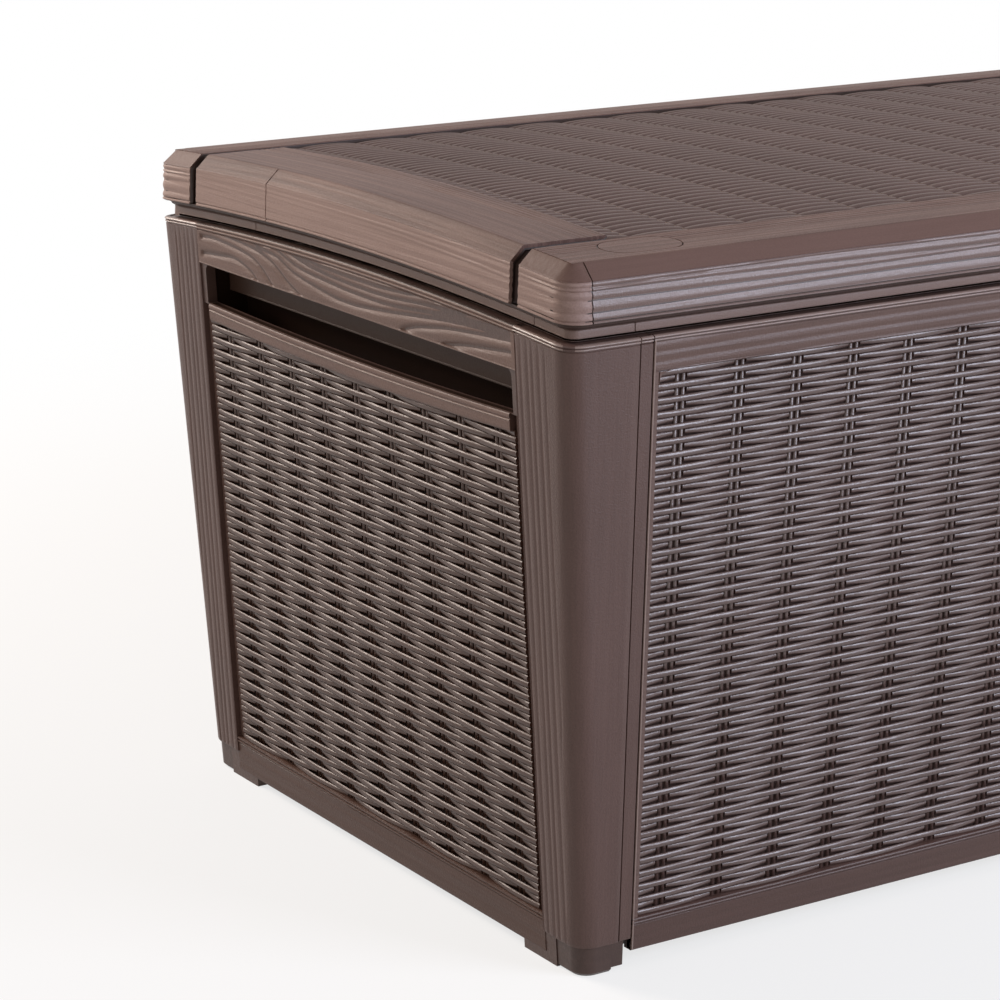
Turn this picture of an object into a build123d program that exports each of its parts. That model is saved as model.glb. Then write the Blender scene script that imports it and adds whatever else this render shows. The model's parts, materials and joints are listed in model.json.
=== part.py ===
from build123d import *
import math
import os

# Deck storage box of moulded polypropylene: tapered body with woven-look panels between four
# corner posts, and a crowned lid on three rear hinges, held open by two telescopic stays.
# Millimetres. X runs along the box, -Y is the front, Z is up, and the origin is on the floor
# under the middle of the closed box.

# ---- overall sizes ----
box_length = 1300.0      # over the lid, along X
box_depth = 700.0        # over the lid, along Y
box_height = 625.0       # floor to the top of the lid's crown
lid_crown = 12.0         # rise of the lid and of the side rims at mid depth
lid_drop = 46.5          # height of the lid's fascia with its bevel
neck_height = 17.5       # body's rim to the foot of the lid's fascia
lid_overhang = 3.0       # lid's reach past the body's rim
side_lean = 33.0         # how far each end leans in, from rim to floor
front_lean = 24.0        # how far the front and back lean in, from rim to floor
corner_radius = 18.0     # rounding of the posts' corners
seam = 0.4               # gap at a visible joint between fixed pieces
fit = 0.3                # gap where one piece seats on another

# ---- body walls ----
post_wall = 5.0
post_front_width = 73.0  # post's face on the front, from the lid's end
post_step_width = 14.0   # recessed strip between that face and the front panel
post_step_depth = 3.0
post_side_width = 77.0   # post's face on the end, from the lid's front
rail_inset = 1.2         # panel rails behind the posts' faces
field_inset = 7.0        # woven field's ground behind the posts' faces
panel_wall = 4.0
tongue_reach = 17.0      # how far a panel runs behind a post
tongue_wall = 3.0
front_rail_height = 29.0
field_bottom = 42.0
front_panel_bottom = 16.0
side_panel_bottom = 8.5
foot_height = 27.0
foot_inset = 2.0
foot_side_length = 36.0  # foot along the end, from the corner
foot_front_length = 46.0  # foot along the front, from the corner
foot_wall = 20.0
foot_bevel = 3.0
foot_peg = 12.0          # peg that the post slips over
foot_peg_wall = 6.0
tab_length = 50.0        # low tab of the end panel beside each foot
strand_pitch = 5.87      # rows of strands in a woven field
strand_foot = 5.0        # width of one row on the field's back
strand_tip = 3.2         # and across its face
strand_inset = 2.6       # rows' faces behind the posts' faces
weave_groove = 5.6       # bottom of the grooves between the rows
weave_margin = 6.5       # plain strip at each side of the front field
weave_side_gap = 15.0    # end field's edge, in from the post's seam
rim_flange = 24.0        # top flange that the lid sits on
flange_wall = 4.0
ledge_reach = 21.0       # ledge that carries the floor
ledge_height = 22.0
floor_wall = 4.0
floor_rib_drop = 14.0
floor_rib_wall = 4.0
floor_ribs_across = 9
floor_ribs_along = 3

# ---- end handles ----
slot_end_margin = 88.0   # slot's end, from the lid's front or back
side_rail_height = 32.0  # rim to the slot
slot_height = 37.5
slot_corner = 8.0
lip_height = 16.0        # plain band under the slot
lip_sag = 5.5            # how far that band's lower edge dips at mid depth
sill_sag = 4.5           # how far the slot's sill dips there
lip_end_gap = 4.0        # from the band's ends to the slot's ends
lip_proud = 1.0
grip_inset = 26.0        # wall that the fingers press on
grip_wall = 3.0
grip_gap = 10.5          # slot's sill to the grip wall's lower edge
pocket_inset = 43.0
pocket_wall = 3.0
pocket_drop = 24.5       # slot's sill to the pocket's bottom
pocket_overlap = 4.0     # pocket's reach past the slot's ends

# ---- lid ----
lid_wall = 4.0
bevel = 12.5
fascia_flare = 2.0       # how far the fascia leans out towards its foot
front_beam_width = 70.0
end_beam_width = 95.0
beam_gap = 13.0          # groove between a long beam and an end beam
groove_depth = 5.0
groove_strip = 10.0
cap_wrap = 25.0          # corner cap's reach along the front
cap_inset = 13.5         # seam between cap and beam top
deck_drop = 4.0
skirt_inset = 12.0
skirt_wall = 3.0
skirt_gap = 2.0          # rim to the skirt
seat_rib_inset = 21.0
liner_wall = 3.0
liner_ribs_across = 7
liner_ribs_along = 3
plug_length = 74.0
plug_width = 38.0
plug_from_end = 100.0
plug_from_front = 43.0
plug_lip = 2.0

# ---- hinges ----
hinge_axis_inset = 5.0   # axis, in from the lid's back
hinge_rise = 9.0         # axis above the body's rim
hinge_span = 420.0       # between hinges
hinge_count = 3
knuckle_radius = 4.0
pin_radius = 2.0
pin_clearance = 0.05
pin_head_radius = 3.4
knuckle_length = 24.0
knuckle_gap = 0.6
leaf_wall = 1.8
leaf_drop = 32.0

# ---- stays ----
stay_from_end = 65.0     # stay's middle, from the lid's end
stay_foot_y = -42.0      # lower pivot from the hinge axis
stay_foot_z = -155.0
stay_head_y = -95.0      # upper pivot from the hinge axis
stay_head_z = -10.0
stay_tube_radius = 9.0
stay_rod_radius = 4.0
stay_end_gap = 4.0       # left between tube and upper eye when closed
stay_eye_radius = 9.0
stay_eye_width = 8.0
stay_pin_radius = 4.0
stay_head_radius = 6.5   # heads and bosses of the stays' pins
stay_head_height = 2.5
stay_bracket_wall = 4.0
stay_bracket_half = 13.0
stay_bracket_reach = 26.0

# ---- fasteners ----
screw_radius = 1.9
screw_head_radius = 3.8
screw_head_height = 1.6
screw_clearance = 0.1
panel_screw_grip = 5.5
panel_screw_count = 3
panel_screw_margin = 70.0  # outer screws, from the ends of the panels' tongues

# ---- worked out from the sizes above ----
margin = 20.0            # cutting bodies run past the pieces by this
half_length = box_length / 2
half_depth = box_depth / 2
edge_top = box_height - lid_crown
fascia_bottom = edge_top - lid_drop
rim_height = fascia_bottom - neck_height
skirt_bottom = rim_height + skirt_gap
front_rail_bottom = rim_height - front_rail_height
slot_top = rim_height - side_rail_height
slot_bottom = slot_top - slot_height
grip_bottom = slot_bottom + grip_gap
pocket_bottom = slot_bottom - pocket_drop
crown_radius = (half_depth ** 2 + lid_crown ** 2) / (2 * lid_crown)
hinge_axis_y = half_depth - hinge_axis_inset
hinge_axis_height = rim_height + hinge_rise
stay_plane = half_length - stay_from_end
panel_inner = field_inset + panel_wall
deck_half_depth = half_depth - front_beam_width
deck_half_length = half_length - end_beam_width
end_beam_half = deck_half_depth - beam_gap
liner_bottom = fascia_bottom + liner_wall + fit
hinge_half = knuckle_length * 1.5 + knuckle_gap
hinge_middles = [(index - (hinge_count - 1) / 2) * hinge_span for index in range(hinge_count)]
body_screw_grip = leaf_wall + panel_wall
lid_screw_grip = leaf_wall + fit + skirt_wall - 2 * fit
lid_bracket_grip = stay_bracket_wall + liner_wall - fit
tongue_bottom = foot_height + foot_peg + fit
tongue_top = rim_height - flange_wall - fit
screw_low = tongue_bottom + panel_screw_margin
screw_pitch = (tongue_top - panel_screw_margin - screw_low) / (panel_screw_count - 1)
panel_screw_heights = [screw_low + index * screw_pitch for index in range(panel_screw_count)]


def crown_at(y):
    """Rise of the crown at depth y."""
    return lid_crown - (crown_radius - math.sqrt(crown_radius ** 2 - y ** 2))


def block(x0, x1, y0, y1, z0, z1):
    """Box between two corners."""
    middle = Pos((x0 + x1) / 2, (y0 + y1) / 2, (z0 + z1) / 2)
    return middle * Box(abs(x1 - x0), abs(y1 - y0), abs(z1 - z0))


def crowned(low, high):
    """Slab that follows the crown, from low to high at the lid's front and back edges."""
    reach = half_depth + margin
    end = crown_at(reach)
    under = ThreePointArc((-reach, low + end), (0, low + lid_crown), (reach, low + end))
    over = ThreePointArc((-reach, high + end), (0, high + lid_crown), (reach, high + end))
    sides = [Line(under @ 0, over @ 0), Line(under @ 1, over @ 1)]
    profile = make_face([under, over, *sides])
    return extrude(Plane.YZ * profile, amount=half_length + margin, both=True)


def half_size(z, inset):
    """Half length and half depth of the leaning body at height z, inset from the posts' faces."""
    drop = (rim_height - z) / rim_height
    half_x = half_length - lid_overhang - side_lean * drop - inset
    half_y = half_depth - lid_overhang - front_lean * drop - inset
    return half_x, half_y


def frustum(inset, low, high):
    """Leaning body, inset from the posts' faces, between two heights."""
    sections = []
    for z in (low, high):
        half_x, half_y = half_size(z, inset)
        radius = max(corner_radius - inset, 1.0)
        sections.append(Pos(0, 0, z) * RectangleRounded(2 * half_x, 2 * half_y, radius))
    return loft(sections, ruled=True)


def wall(outer, inner, low, high):
    """Leaning wall between two insets and two heights."""
    return frustum(outer, low, high) - frustum(inner, low - 1, high + 1)


def rim_wall(outer, inner, low, high):
    """Leaning wall whose top and bottom follow the crown."""
    tall = wall(outer, inner, low - margin, high + margin)
    return tall & crowned(low, high)


def mirrored(piece, mirror_x, mirror_y):
    """Copy of a front left piece for another corner or side."""
    if mirror_x:
        piece = mirror(piece, about=Plane.YZ)
    if mirror_y:
        piece = mirror(piece, about=Plane.XZ)
    return piece


# ---------------------------------------------------------------- corner posts and feet

def corner_block(along_x, along_y, low, high):
    """Front left corner region, measured from the lid's end and front."""
    return block(-half_length - margin, -half_length + along_x,
                 -half_depth - margin, -half_depth + along_y, low, high)


def post():
    """Front left corner post, with its recessed strip beside the front panel and its share of the rim."""
    high = rim_height + margin
    step_end = post_front_width + post_step_width
    shell = wall(0, post_wall, foot_height, high)
    face = shell & corner_block(post_front_width, post_side_width, 0, high)
    strip_zone = block(-half_length + post_front_width - post_wall, -half_length + step_end,
                       -half_depth - margin, 0, 0, high)
    strip = wall(post_step_depth, field_inset + fit, foot_height, high) & strip_zone
    body = (face + strip) & crowned(-margin, rim_height - 1)
    rim = rim_wall(0, rim_flange, rim_height - flange_wall, rim_height)
    body += rim & corner_block(post_front_width, post_side_width, 0, high)
    low_rim = rim_wall(post_step_depth, rim_flange, rim_height - flange_wall, rim_height)
    body += low_rim & strip_zone
    for height in panel_screw_heights:
        body -= screw(front_screw_place(height), panel_screw_grip, screw_clearance)
        body -= screw(side_screw_place(height), panel_screw_grip, screw_clearance)
    return body


def foot_ring():
    """Wall of all the feet together, bevelled towards the ground."""
    outlines = []
    for z, inset in ((0, foot_inset + foot_bevel), (foot_bevel, foot_inset), (foot_height - fit, foot_inset)):
        half_x, half_y = half_size(z, inset)
        outlines.append(Pos(0, 0, z) * RectangleRounded(2 * half_x, 2 * half_y, corner_radius - inset))
    return loft(outlines, ruled=True) - frustum(foot_inset + foot_wall, -1, foot_height)


def foot():
    """Front left foot: a block under the post and a lower one under its strip, with a peg inside the post."""
    corner_x, corner_y = half_size(0, 0)
    reach_x = half_length - corner_x + foot_front_length
    reach_y = half_depth - corner_y + foot_side_length
    face_x = reach_x - post_step_width + seam
    shoe = foot_ring() & corner_block(face_x, reach_y, 0, foot_height)
    step_inset = foot_inset + post_step_depth
    step = wall(step_inset, foot_inset + foot_wall, foot_bevel, foot_height - fit)
    step_zone = corner_block(reach_x, reach_y, 0, foot_height) - corner_block(face_x - 1, reach_y, 0, foot_height)
    shoe += step & step_zone
    peg_inset = post_wall + fit
    peg = wall(peg_inset, peg_inset + foot_peg_wall, foot_height - 1, foot_height + foot_peg)
    peg = peg & corner_block(post_front_width - post_wall - fit, reach_y - 1, 0, foot_height + foot_peg)
    return shoe + peg


# ---------------------------------------------------------------- screws between panels and posts

def front_screw_place(height):
    """Place and direction of a screw through the front panel's tongue into the post."""
    x = -half_length + post_front_width + post_step_width / 2
    inner_y = half_size(height, field_inset + 2 * fit + tongue_wall)[1]
    return Vector(x, -inner_y, height), Vector(0, -1, 0)


def side_screw_place(height):
    """Place and direction of a screw through the end panel's tongue into the post."""
    y = -half_depth + post_side_width - tongue_reach / 2
    inner_x = half_size(height, post_wall + fit + tongue_wall)[0]
    return Vector(-inner_x, y, height), Vector(-1, 0, 0)


def screw(place, grip, grow=0.0):
    """Countersunk screw from its head's face, or with grow the larger body that cuts its hole."""
    start, along = place
    plane = Plane(origin=start, z_dir=along)
    shank = extrude(plane * Circle(screw_radius + grow), amount=grip + grow)
    head = loft([plane * Circle(screw_head_radius + grow),
                 plane.offset(screw_head_height) * Circle(screw_radius + grow)])
    body = shank + head
    if grow > 0:
        body += extrude(plane * Circle(screw_head_radius + grow), amount=-margin / 4)
    return body


def panel_screws():
    """All the screws that hold the panels to the posts."""
    screws = []
    for height in panel_screw_heights:
        for place in (front_screw_place(height), side_screw_place(height)):
            first = screw(place, panel_screw_grip)
            for mirror_x in (False, True):
                for mirror_y in (False, True):
                    screws.append(mirrored(first, mirror_x, mirror_y))
    return Compound(children=[s.solid() for s in screws])


# ---------------------------------------------------------------- front and back panels

def long_panel():
    """Front panel: rim flange, top rail, woven field's ground, bottom rail and floor ledge."""
    half_width = half_length - post_front_width - post_step_width - seam
    zone = block(-half_width, half_width, -half_depth - margin, 0, 0, box_height)
    high = rim_height + margin
    skin = wall(field_inset, panel_inner, front_panel_bottom, high)
    top_rail = wall(rail_inset, panel_inner, front_rail_bottom, high)
    bottom_rail = wall(rail_inset, panel_inner, front_panel_bottom, field_bottom)
    ledge = wall(panel_inner - 1, ledge_reach, ledge_height, ledge_height + flange_wall)
    flange = rim_wall(rail_inset, rim_flange, rim_height - flange_wall, rim_height)
    panel = (skin + top_rail + bottom_rail + ledge) & zone
    panel = panel & crowned(-margin, rim_height - 1)
    panel += flange & zone
    tongue_half = half_width + tongue_reach
    tongue_zone = block(-tongue_half, tongue_half, -half_depth - margin, 0, 0, box_height)
    tongue = wall(field_inset + 2 * fit, field_inset + 2 * fit + tongue_wall, tongue_bottom, tongue_top)
    panel += tongue & tongue_zone
    for height in panel_screw_heights:
        cut = screw(front_screw_place(height), panel_screw_grip, screw_clearance)
        panel -= cut
        panel -= mirrored(cut, True, False)
    return panel


# ---------------------------------------------------------------- end panels and handles

def sagging(half_width, height, sag):
    """Arc across an end panel, dipping at mid depth."""
    return ThreePointArc((-half_width, height), (0, height - sag), (half_width, height))


def side_slot():
    """Handle slot through the left end, with a sill that dips at mid depth."""
    half_slot = half_depth - slot_end_margin
    middle = (slot_top + slot_bottom) / 2
    rounded = Pos(0, middle) * RectangleRounded(2 * half_slot, slot_top - slot_bottom, slot_corner)
    sill = sagging(half_slot, slot_bottom, sill_sag)
    top = Line((-half_slot, middle), (half_slot, middle))
    lower = make_face([sill, top, Line(sill @ 0, top @ 0), Line(sill @ 1, top @ 1)])
    outline = Plane.YZ * (rounded + lower)
    return Pos(-half_length, 0, 0) * extrude(outline, amount=panel_inner + side_lean, both=True)


def lip_band():
    """Plain band under the slot, dipping at mid depth."""
    half_band = half_depth - slot_end_margin - lip_end_gap
    low = slot_bottom - lip_height
    under = sagging(half_band, low, lip_sag)
    top = Line((-half_band, slot_bottom), (half_band, slot_bottom))
    sides = [Line(under @ 0, top @ 0), Line(under @ 1, top @ 1)]
    profile = make_face([under, top, *sides])
    band_zone = extrude(Plane.YZ * profile, amount=half_length + margin, both=True)
    left_half = block(-half_length - margin, 0, -half_depth, half_depth, 0, box_height)
    return wall(rail_inset - lip_proud, panel_inner, low - margin, slot_bottom + 1) & band_zone & left_half


def side_panel():
    """Left end panel with its handle slot, lip, low tabs and floor ledge."""
    half_width = half_depth - post_side_width - seam
    zone = block(-half_length - margin, 0, -half_width, half_width, 0, box_height)
    high = rim_height + margin
    skin = wall(field_inset, panel_inner, side_panel_bottom, high)
    top_rail = wall(rail_inset, panel_inner, slot_bottom - 1, high)
    bottom_rail = wall(rail_inset, panel_inner, side_panel_bottom, field_bottom)
    ledge = wall(panel_inner - 1, ledge_reach, ledge_height, ledge_height + flange_wall)
    panel = (skin + top_rail + bottom_rail + ledge) & zone
    panel = panel & crowned(-margin, rim_height - 1)
    panel += rim_wall(rail_inset, rim_flange, rim_height - flange_wall, rim_height) & zone
    panel += lip_band()
    panel -= side_slot()
    tab_start = half_size(0, 0)[1] - foot_side_length - seam
    for side in (-1, 1):
        tab_zone = block(-half_length - margin, 0, side * tab_start, side * (tab_start - tab_length),
                         0, field_bottom)
        panel += wall(rail_inset, panel_inner, fit, foot_height - seam) & tab_zone
    tongue_half = half_width + tongue_reach
    tongue_zone = block(-half_length - margin, 0, -tongue_half, tongue_half, 0, box_height)
    tongue = wall(post_wall + fit, post_wall + fit + tongue_wall, tongue_bottom, tongue_top)
    panel += (tongue & tongue_zone) - block(-half_length, 0, -half_width + 1, half_width - 1, 0, box_height)
    for height in panel_screw_heights:
        cut = screw(side_screw_place(height), panel_screw_grip, screw_clearance)
        panel -= cut
        panel -= mirrored(cut, False, True)
    return panel


def handle_pocket():
    """Left handle's closed pocket, with the wall that the fingers press on."""
    half_pocket = half_depth - slot_end_margin + pocket_overlap
    top = tongue_top
    zone = block(-half_length - margin, 0, -half_pocket, half_pocket, pocket_bottom, box_height)
    inner_zone = block(-half_length - margin, 0, -half_pocket + pocket_wall, half_pocket - pocket_wall,
                       pocket_bottom + pocket_wall, top - pocket_wall)
    outer = wall(panel_inner + fit, pocket_inset + pocket_wall, pocket_bottom, top)
    hollow = wall(panel_inner - 1, pocket_inset, pocket_bottom, top) & inner_zone
    grip = wall(grip_inset, grip_inset + grip_wall, grip_bottom, top) & zone
    return (outer & zone) - hollow + grip


# ---------------------------------------------------------------- woven fields

def front_at(height, inset):
    """Y of the front wall at a height and an inset."""
    return -half_size(height, inset)[1]


def end_at(height, inset):
    """X of the left wall at a height and an inset."""
    return -half_size(height, inset)[0]


def strand_rows(low, high, wall_at):
    """Cross-section of a woven field: a thin back with one bevelled tooth for each row of strands."""
    rows = round((high - low) / strand_pitch)
    pitch = (high - low) / rows
    back = field_inset - fit
    points = [(wall_at(high, weave_groove), high)]
    for index in range(rows):
        middle = high - (index + 0.5) * pitch
        for offset, inset in ((strand_foot, weave_groove), (strand_tip, strand_inset),
                              (-strand_tip, strand_inset), (-strand_foot, weave_groove)):
            height = middle + offset / 2
            points.append((wall_at(height, inset), height))
    points += [(wall_at(low, weave_groove), low), (wall_at(low, back), low), (wall_at(high, back), high)]
    return make_face(Polyline(*points, close=True))


def long_weave():
    """Front panel's rows of strands, on the field's ground."""
    profile = strand_rows(field_bottom + fit, front_rail_bottom - fit, front_at)
    half_width = half_length - post_front_width - post_step_width - weave_margin
    return extrude(Plane.YZ * profile, amount=half_width, both=True)


def end_weave():
    """Left end panel's rows of strands, on the field's ground."""
    profile = strand_rows(field_bottom + fit, slot_bottom - lip_height - lip_sag - fit, end_at)
    return extrude(Plane.XZ * profile, amount=half_depth - post_side_width - weave_side_gap, both=True)


# ---------------------------------------------------------------- floor

def floor_panel():
    """Floor resting on the panels' ledges, with ribs beneath it."""
    low = ledge_height + flange_wall + fit
    half_x, half_y = half_size(low, panel_inner + fit)
    plate = frustum(panel_inner + fit, low, low + floor_wall)
    rib_low = low - floor_rib_drop
    rib_x, rib_y = half_size(rib_low, ledge_reach + fit)
    for index in range(floor_ribs_across):
        x = (index / (floor_ribs_across - 1) - 0.5) * 2 * (rib_x - floor_rib_wall)
        plate += block(x - floor_rib_wall / 2, x + floor_rib_wall / 2, -rib_y, rib_y, rib_low, low + 1)
    for index in range(floor_ribs_along):
        y = (index / (floor_ribs_along - 1) - 0.5) * 2 * (rib_y - floor_rib_wall)
        plate += block(-rib_x, rib_x, y - floor_rib_wall / 2, y + floor_rib_wall / 2, rib_low, low + 1)
    for side_x in (-1, 1):
        for side_y in (-1, 1):
            plate -= block(side_x * (half_x - foot_front_length), side_x * (half_x + margin),
                           side_y * (half_y - foot_side_length), side_y * (half_y + margin),
                           0, low + margin)
    return plate


# ---------------------------------------------------------------- lid

def lid_plan(inset, low, high):
    """Prism of the lid's plan with its flared fascia, inset from the fascia's foot."""
    sections = []
    for z in (low, high):
        flare = fascia_flare * (z - fascia_bottom) / lid_drop
        radius = max(corner_radius + lid_overhang - inset, 1.0)
        sections.append(Pos(0, 0, z) * RectangleRounded(2 * (half_length - inset - flare),
                                                        2 * (half_depth - inset - flare), radius))
    return loft(sections, ruled=True)


def lid_form(inset, low, high):
    """Crowned and bevelled lid body; the bevel narrows with the inset so that walls keep their thickness."""
    form = lid_plan(inset, low - margin, high + 2 * margin) & crowned(low, high)
    top = form.faces().sort_by(Axis.Z)[-1]
    return chamfer(top.edges(), bevel - (2 - math.sqrt(2)) * inset)


def lid_ring(outer, inner, low, high):
    """Crowned ring between two insets of the lid's plan."""
    tall = lid_plan(outer, low - margin, high + margin) - lid_plan(inner, low - 2 * margin, high + 2 * margin)
    return tall & crowned(low, high)


def lid_skin():
    """Whole outer skin of the lid, before it is divided into beams and caps."""
    skin = lid_form(0, fascia_bottom, edge_top)
    skin -= lid_form(lid_wall, fascia_bottom - margin, edge_top - lid_wall)
    return skin + lid_ring(lid_wall / 2, skirt_inset - fit, fascia_bottom, fascia_bottom + liner_wall)


def cap_zone(grow):
    """Region of the front left corner cap, grown by grow at its seams."""
    corner = block(-half_length - margin, -half_length + cap_wrap + grow,
                   -half_depth - margin, -deck_half_depth + 1, 0, box_height + margin)
    return corner - lid_plan(cap_inset + grow, 0, box_height + 2 * margin)


def plug_prism(grow):
    """Upright round-ended prism through the front beam's top near its left end, grown by grow."""
    outline = SlotOverall(plug_length + 2 * grow, plug_width + 2 * grow)
    place = Pos(-half_length + plug_from_end, -half_depth + plug_from_front, fascia_bottom)
    return place * extrude(outline, amount=2 * lid_drop)


def corner_cap(skin):
    """Front left corner cap: fascia and bevel wrapped round the corner."""
    front = block(-half_length - margin, 0, -half_depth - margin, -deck_half_depth, 0, box_height)
    return skin & front & cap_zone(0)


def front_beam(skin):
    """Front beam of the lid, between the caps, with its inner wall."""
    zone = block(-half_length - margin, half_length + margin, -half_depth - margin, -deck_half_depth,
                 0, box_height)
    inner_wall = block(-half_length + cap_inset + 1, half_length - cap_inset - 1,
                       -deck_half_depth - lid_wall, -deck_half_depth, 0, box_height)
    beam = (skin & zone) + (inner_wall & crowned(liner_top() + fit, edge_top - lid_wall / 2))
    for mirror_x in (False, True):
        beam -= mirrored(cap_zone(seam), mirror_x, False)
        beam -= mirrored(plug_prism(seam), mirror_x, False)
    return beam


def back_beam(skin):
    """Back beam of the lid, between the caps, with its inner wall."""
    zone = block(-half_length - margin, half_length + margin, deck_half_depth, half_depth + margin,
                 0, box_height)
    inner_wall = block(-half_length + cap_inset + 1, half_length - cap_inset - 1,
                       deck_half_depth, deck_half_depth + lid_wall, 0, box_height)
    beam = (skin & zone) + (inner_wall & crowned(liner_top() + fit, edge_top - lid_wall / 2))
    for mirror_x in (False, True):
        beam -= mirrored(cap_zone(seam), mirror_x, True)
    return beam


def end_beam(skin):
    """Left end beam of the lid, with a lower strip at each end that forms the corner groove."""
    zone = block(-half_length - margin, -deck_half_length, -end_beam_half, end_beam_half, 0, box_height)
    beam = skin & zone
    stand = crowned(liner_top() + fit, edge_top - lid_wall / 2)
    beam += block(-deck_half_length - lid_wall, -deck_half_length, -end_beam_half, end_beam_half,
                  0, box_height) & stand
    groove = lid_form(groove_depth, fascia_bottom, edge_top - groove_depth)
    groove -= lid_form(groove_depth + lid_wall, fascia_bottom - margin, edge_top - groove_depth - lid_wall)
    for side in (-1, 1):
        strip_zone = block(-half_length - margin, -deck_half_length,
                           side * (end_beam_half - lid_wall), side * (end_beam_half + groove_strip),
                           0, box_height)
        beam += groove & strip_zone
    return beam


def lid_deck():
    """Crowned deck between the beams."""
    deck = crowned(edge_top - deck_drop - lid_wall, edge_top - deck_drop)
    return deck & block(-deck_half_length + seam, deck_half_length - seam,
                        -deck_half_depth + seam, deck_half_depth - seam, 0, box_height)


def liner_top():
    """Height of the liner's upper face at the lid's edge."""
    return liner_bottom + liner_wall


def lid_liner():
    """Inner lid: plate, skirt, seat rib and the ribs that carry the deck."""
    plate = lid_plan(lid_wall + seam + fascia_flare, liner_bottom - margin, liner_top() + margin)
    plate = plate & crowned(liner_bottom, liner_top())
    plate += lid_ring(skirt_inset, skirt_inset + skirt_wall, skirt_bottom, liner_bottom + 1)
    plate += lid_ring(seat_rib_inset, seat_rib_inset + skirt_wall, rim_height + fit, liner_bottom + 1)
    for side in (-1, 1):
        for end in (-1, 1):
            near = side * (end_beam_half - lid_wall - fit)
            far = side * (end_beam_half + groove_strip + fit)
            strip_inner = half_length - groove_depth - lid_wall - fascia_flare - fit
            plate -= block(end * strip_inner, end * (half_length + margin), near, far,
                           liner_bottom - 1, box_height)
    rib_layer = crowned(liner_top() - 1, edge_top - deck_drop - lid_wall - fit)
    for index in range(liner_ribs_across):
        x = (index / (liner_ribs_across - 1) - 0.5) * 2 * (deck_half_length - 2 * lid_wall)
        rib = block(x - liner_wall / 2, x + liner_wall / 2, -deck_half_depth + lid_wall,
                    deck_half_depth - lid_wall, 0, box_height)
        plate += rib & rib_layer
    for index in range(liner_ribs_along):
        y = (index / (liner_ribs_along - 1) - 0.5) * 2 * (deck_half_depth - 2 * lid_wall)
        rib = block(-deck_half_length + lid_wall, deck_half_length - lid_wall,
                    y - liner_wall / 2, y + liner_wall / 2, 0, box_height)
        plate += rib & rib_layer
    for place in lid_leaf_screw_places():
        plate -= screw(place, lid_screw_grip, screw_clearance)
    for place in stay_head_screw_places():
        cut = screw(place, lid_bracket_grip, screw_clearance)
        plate -= cut
        plate -= mirrored(cut, True, False)
    return plate


def lid_plug():
    """Oval plug in the front beam's top, held by a lip under the skin."""
    body = plug_prism(0) & crowned(edge_top - lid_wall - plug_lip, edge_top)
    lip = plug_prism(plug_lip) & crowned(edge_top - lid_wall - 2 * plug_lip, edge_top - lid_wall - fit)
    return body + lip


# ---------------------------------------------------------------- hinges

def cylinder_x(x0, x1, y, z, radius):
    """Cylinder along X."""
    plane = Plane(origin=(min(x0, x1), y, z), z_dir=(1, 0, 0))
    return extrude(plane * Circle(radius), amount=abs(x1 - x0))


def knuckle(x0, x1):
    """Solid knuckle about the hinge axis."""
    return cylinder_x(x0, x1, hinge_axis_y, hinge_axis_height, knuckle_radius)


def pin_bore(x):
    """Bore for the pin, through the whole hinge at x."""
    return cylinder_x(x - margin - hinge_half, x + margin + hinge_half, hinge_axis_y, hinge_axis_height,
                      pin_radius + pin_clearance)


def body_leaf_back():
    """Y of the outer face of the fixed leaves."""
    return half_size(rim_height, rail_inset)[1] + fit + leaf_wall


def lid_leaf_back():
    """Y of the outer face of the moving leaves, against the lid's skirt."""
    flare = fascia_flare * (fascia_bottom - skirt_bottom) / lid_drop
    return half_depth - skirt_inset + flare + fit + leaf_wall


def body_leaf_screw_places():
    """Places and directions of the fixed leaves' screws."""
    low = rim_height - leaf_drop + 2 * screw_head_radius
    places = []
    for x in hinge_middles:
        for side in (-1, 1):
            screw_x = x + side * (hinge_half - 2 * screw_head_radius)
            places.append((Vector(screw_x, body_leaf_back(), low), Vector(0, -1, 0)))
    return places


def lid_leaf_screw_places():
    """Places and directions of the moving leaves' screws."""
    middle = (skirt_bottom + fascia_bottom) / 2
    places = []
    for x in hinge_middles:
        for side in (-1, 1):
            screw_x = x + side * (hinge_half - 2 * screw_head_radius)
            places.append((Vector(screw_x, lid_leaf_back(), middle), Vector(0, -1, 0)))
    return places


def body_leaf(x):
    """Fixed leaf of one hinge: plate on the back panel's rail with two knuckles."""
    back = body_leaf_back()
    leaf = block(x - hinge_half, x + hinge_half, back - leaf_wall, back,
                 rim_height - leaf_drop, hinge_axis_height - knuckle_radius / 2)
    clear = knuckle_length / 2 + knuckle_gap
    leaf -= block(x - clear, x + clear, back - margin, back + margin,
                  hinge_axis_height - knuckle_radius - knuckle_gap, hinge_axis_height + margin)
    for side in (-1, 1):
        leaf += knuckle(x + side * clear, x + side * hinge_half)
    for place in body_leaf_screw_places():
        leaf -= screw(place, body_screw_grip, screw_clearance)
    return leaf - pin_bore(x)


def lid_leaf(x):
    """Moving leaf of one hinge: plate on the lid's skirt with the middle knuckle."""
    back = lid_leaf_back()
    leaf = block(x - hinge_half, x + hinge_half, back - leaf_wall, back,
                 skirt_bottom + fit, fascia_bottom - fit)
    leaf += knuckle(x - knuckle_length / 2, x + knuckle_length / 2)
    leaf += block(x - knuckle_length / 2, x + knuckle_length / 2, back - leaf_wall, hinge_axis_y,
                  hinge_axis_height - knuckle_radius / 2, hinge_axis_height + knuckle_radius)
    for place in lid_leaf_screw_places():
        leaf -= screw(place, lid_screw_grip, screw_clearance)
    return leaf - pin_bore(x)


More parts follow.
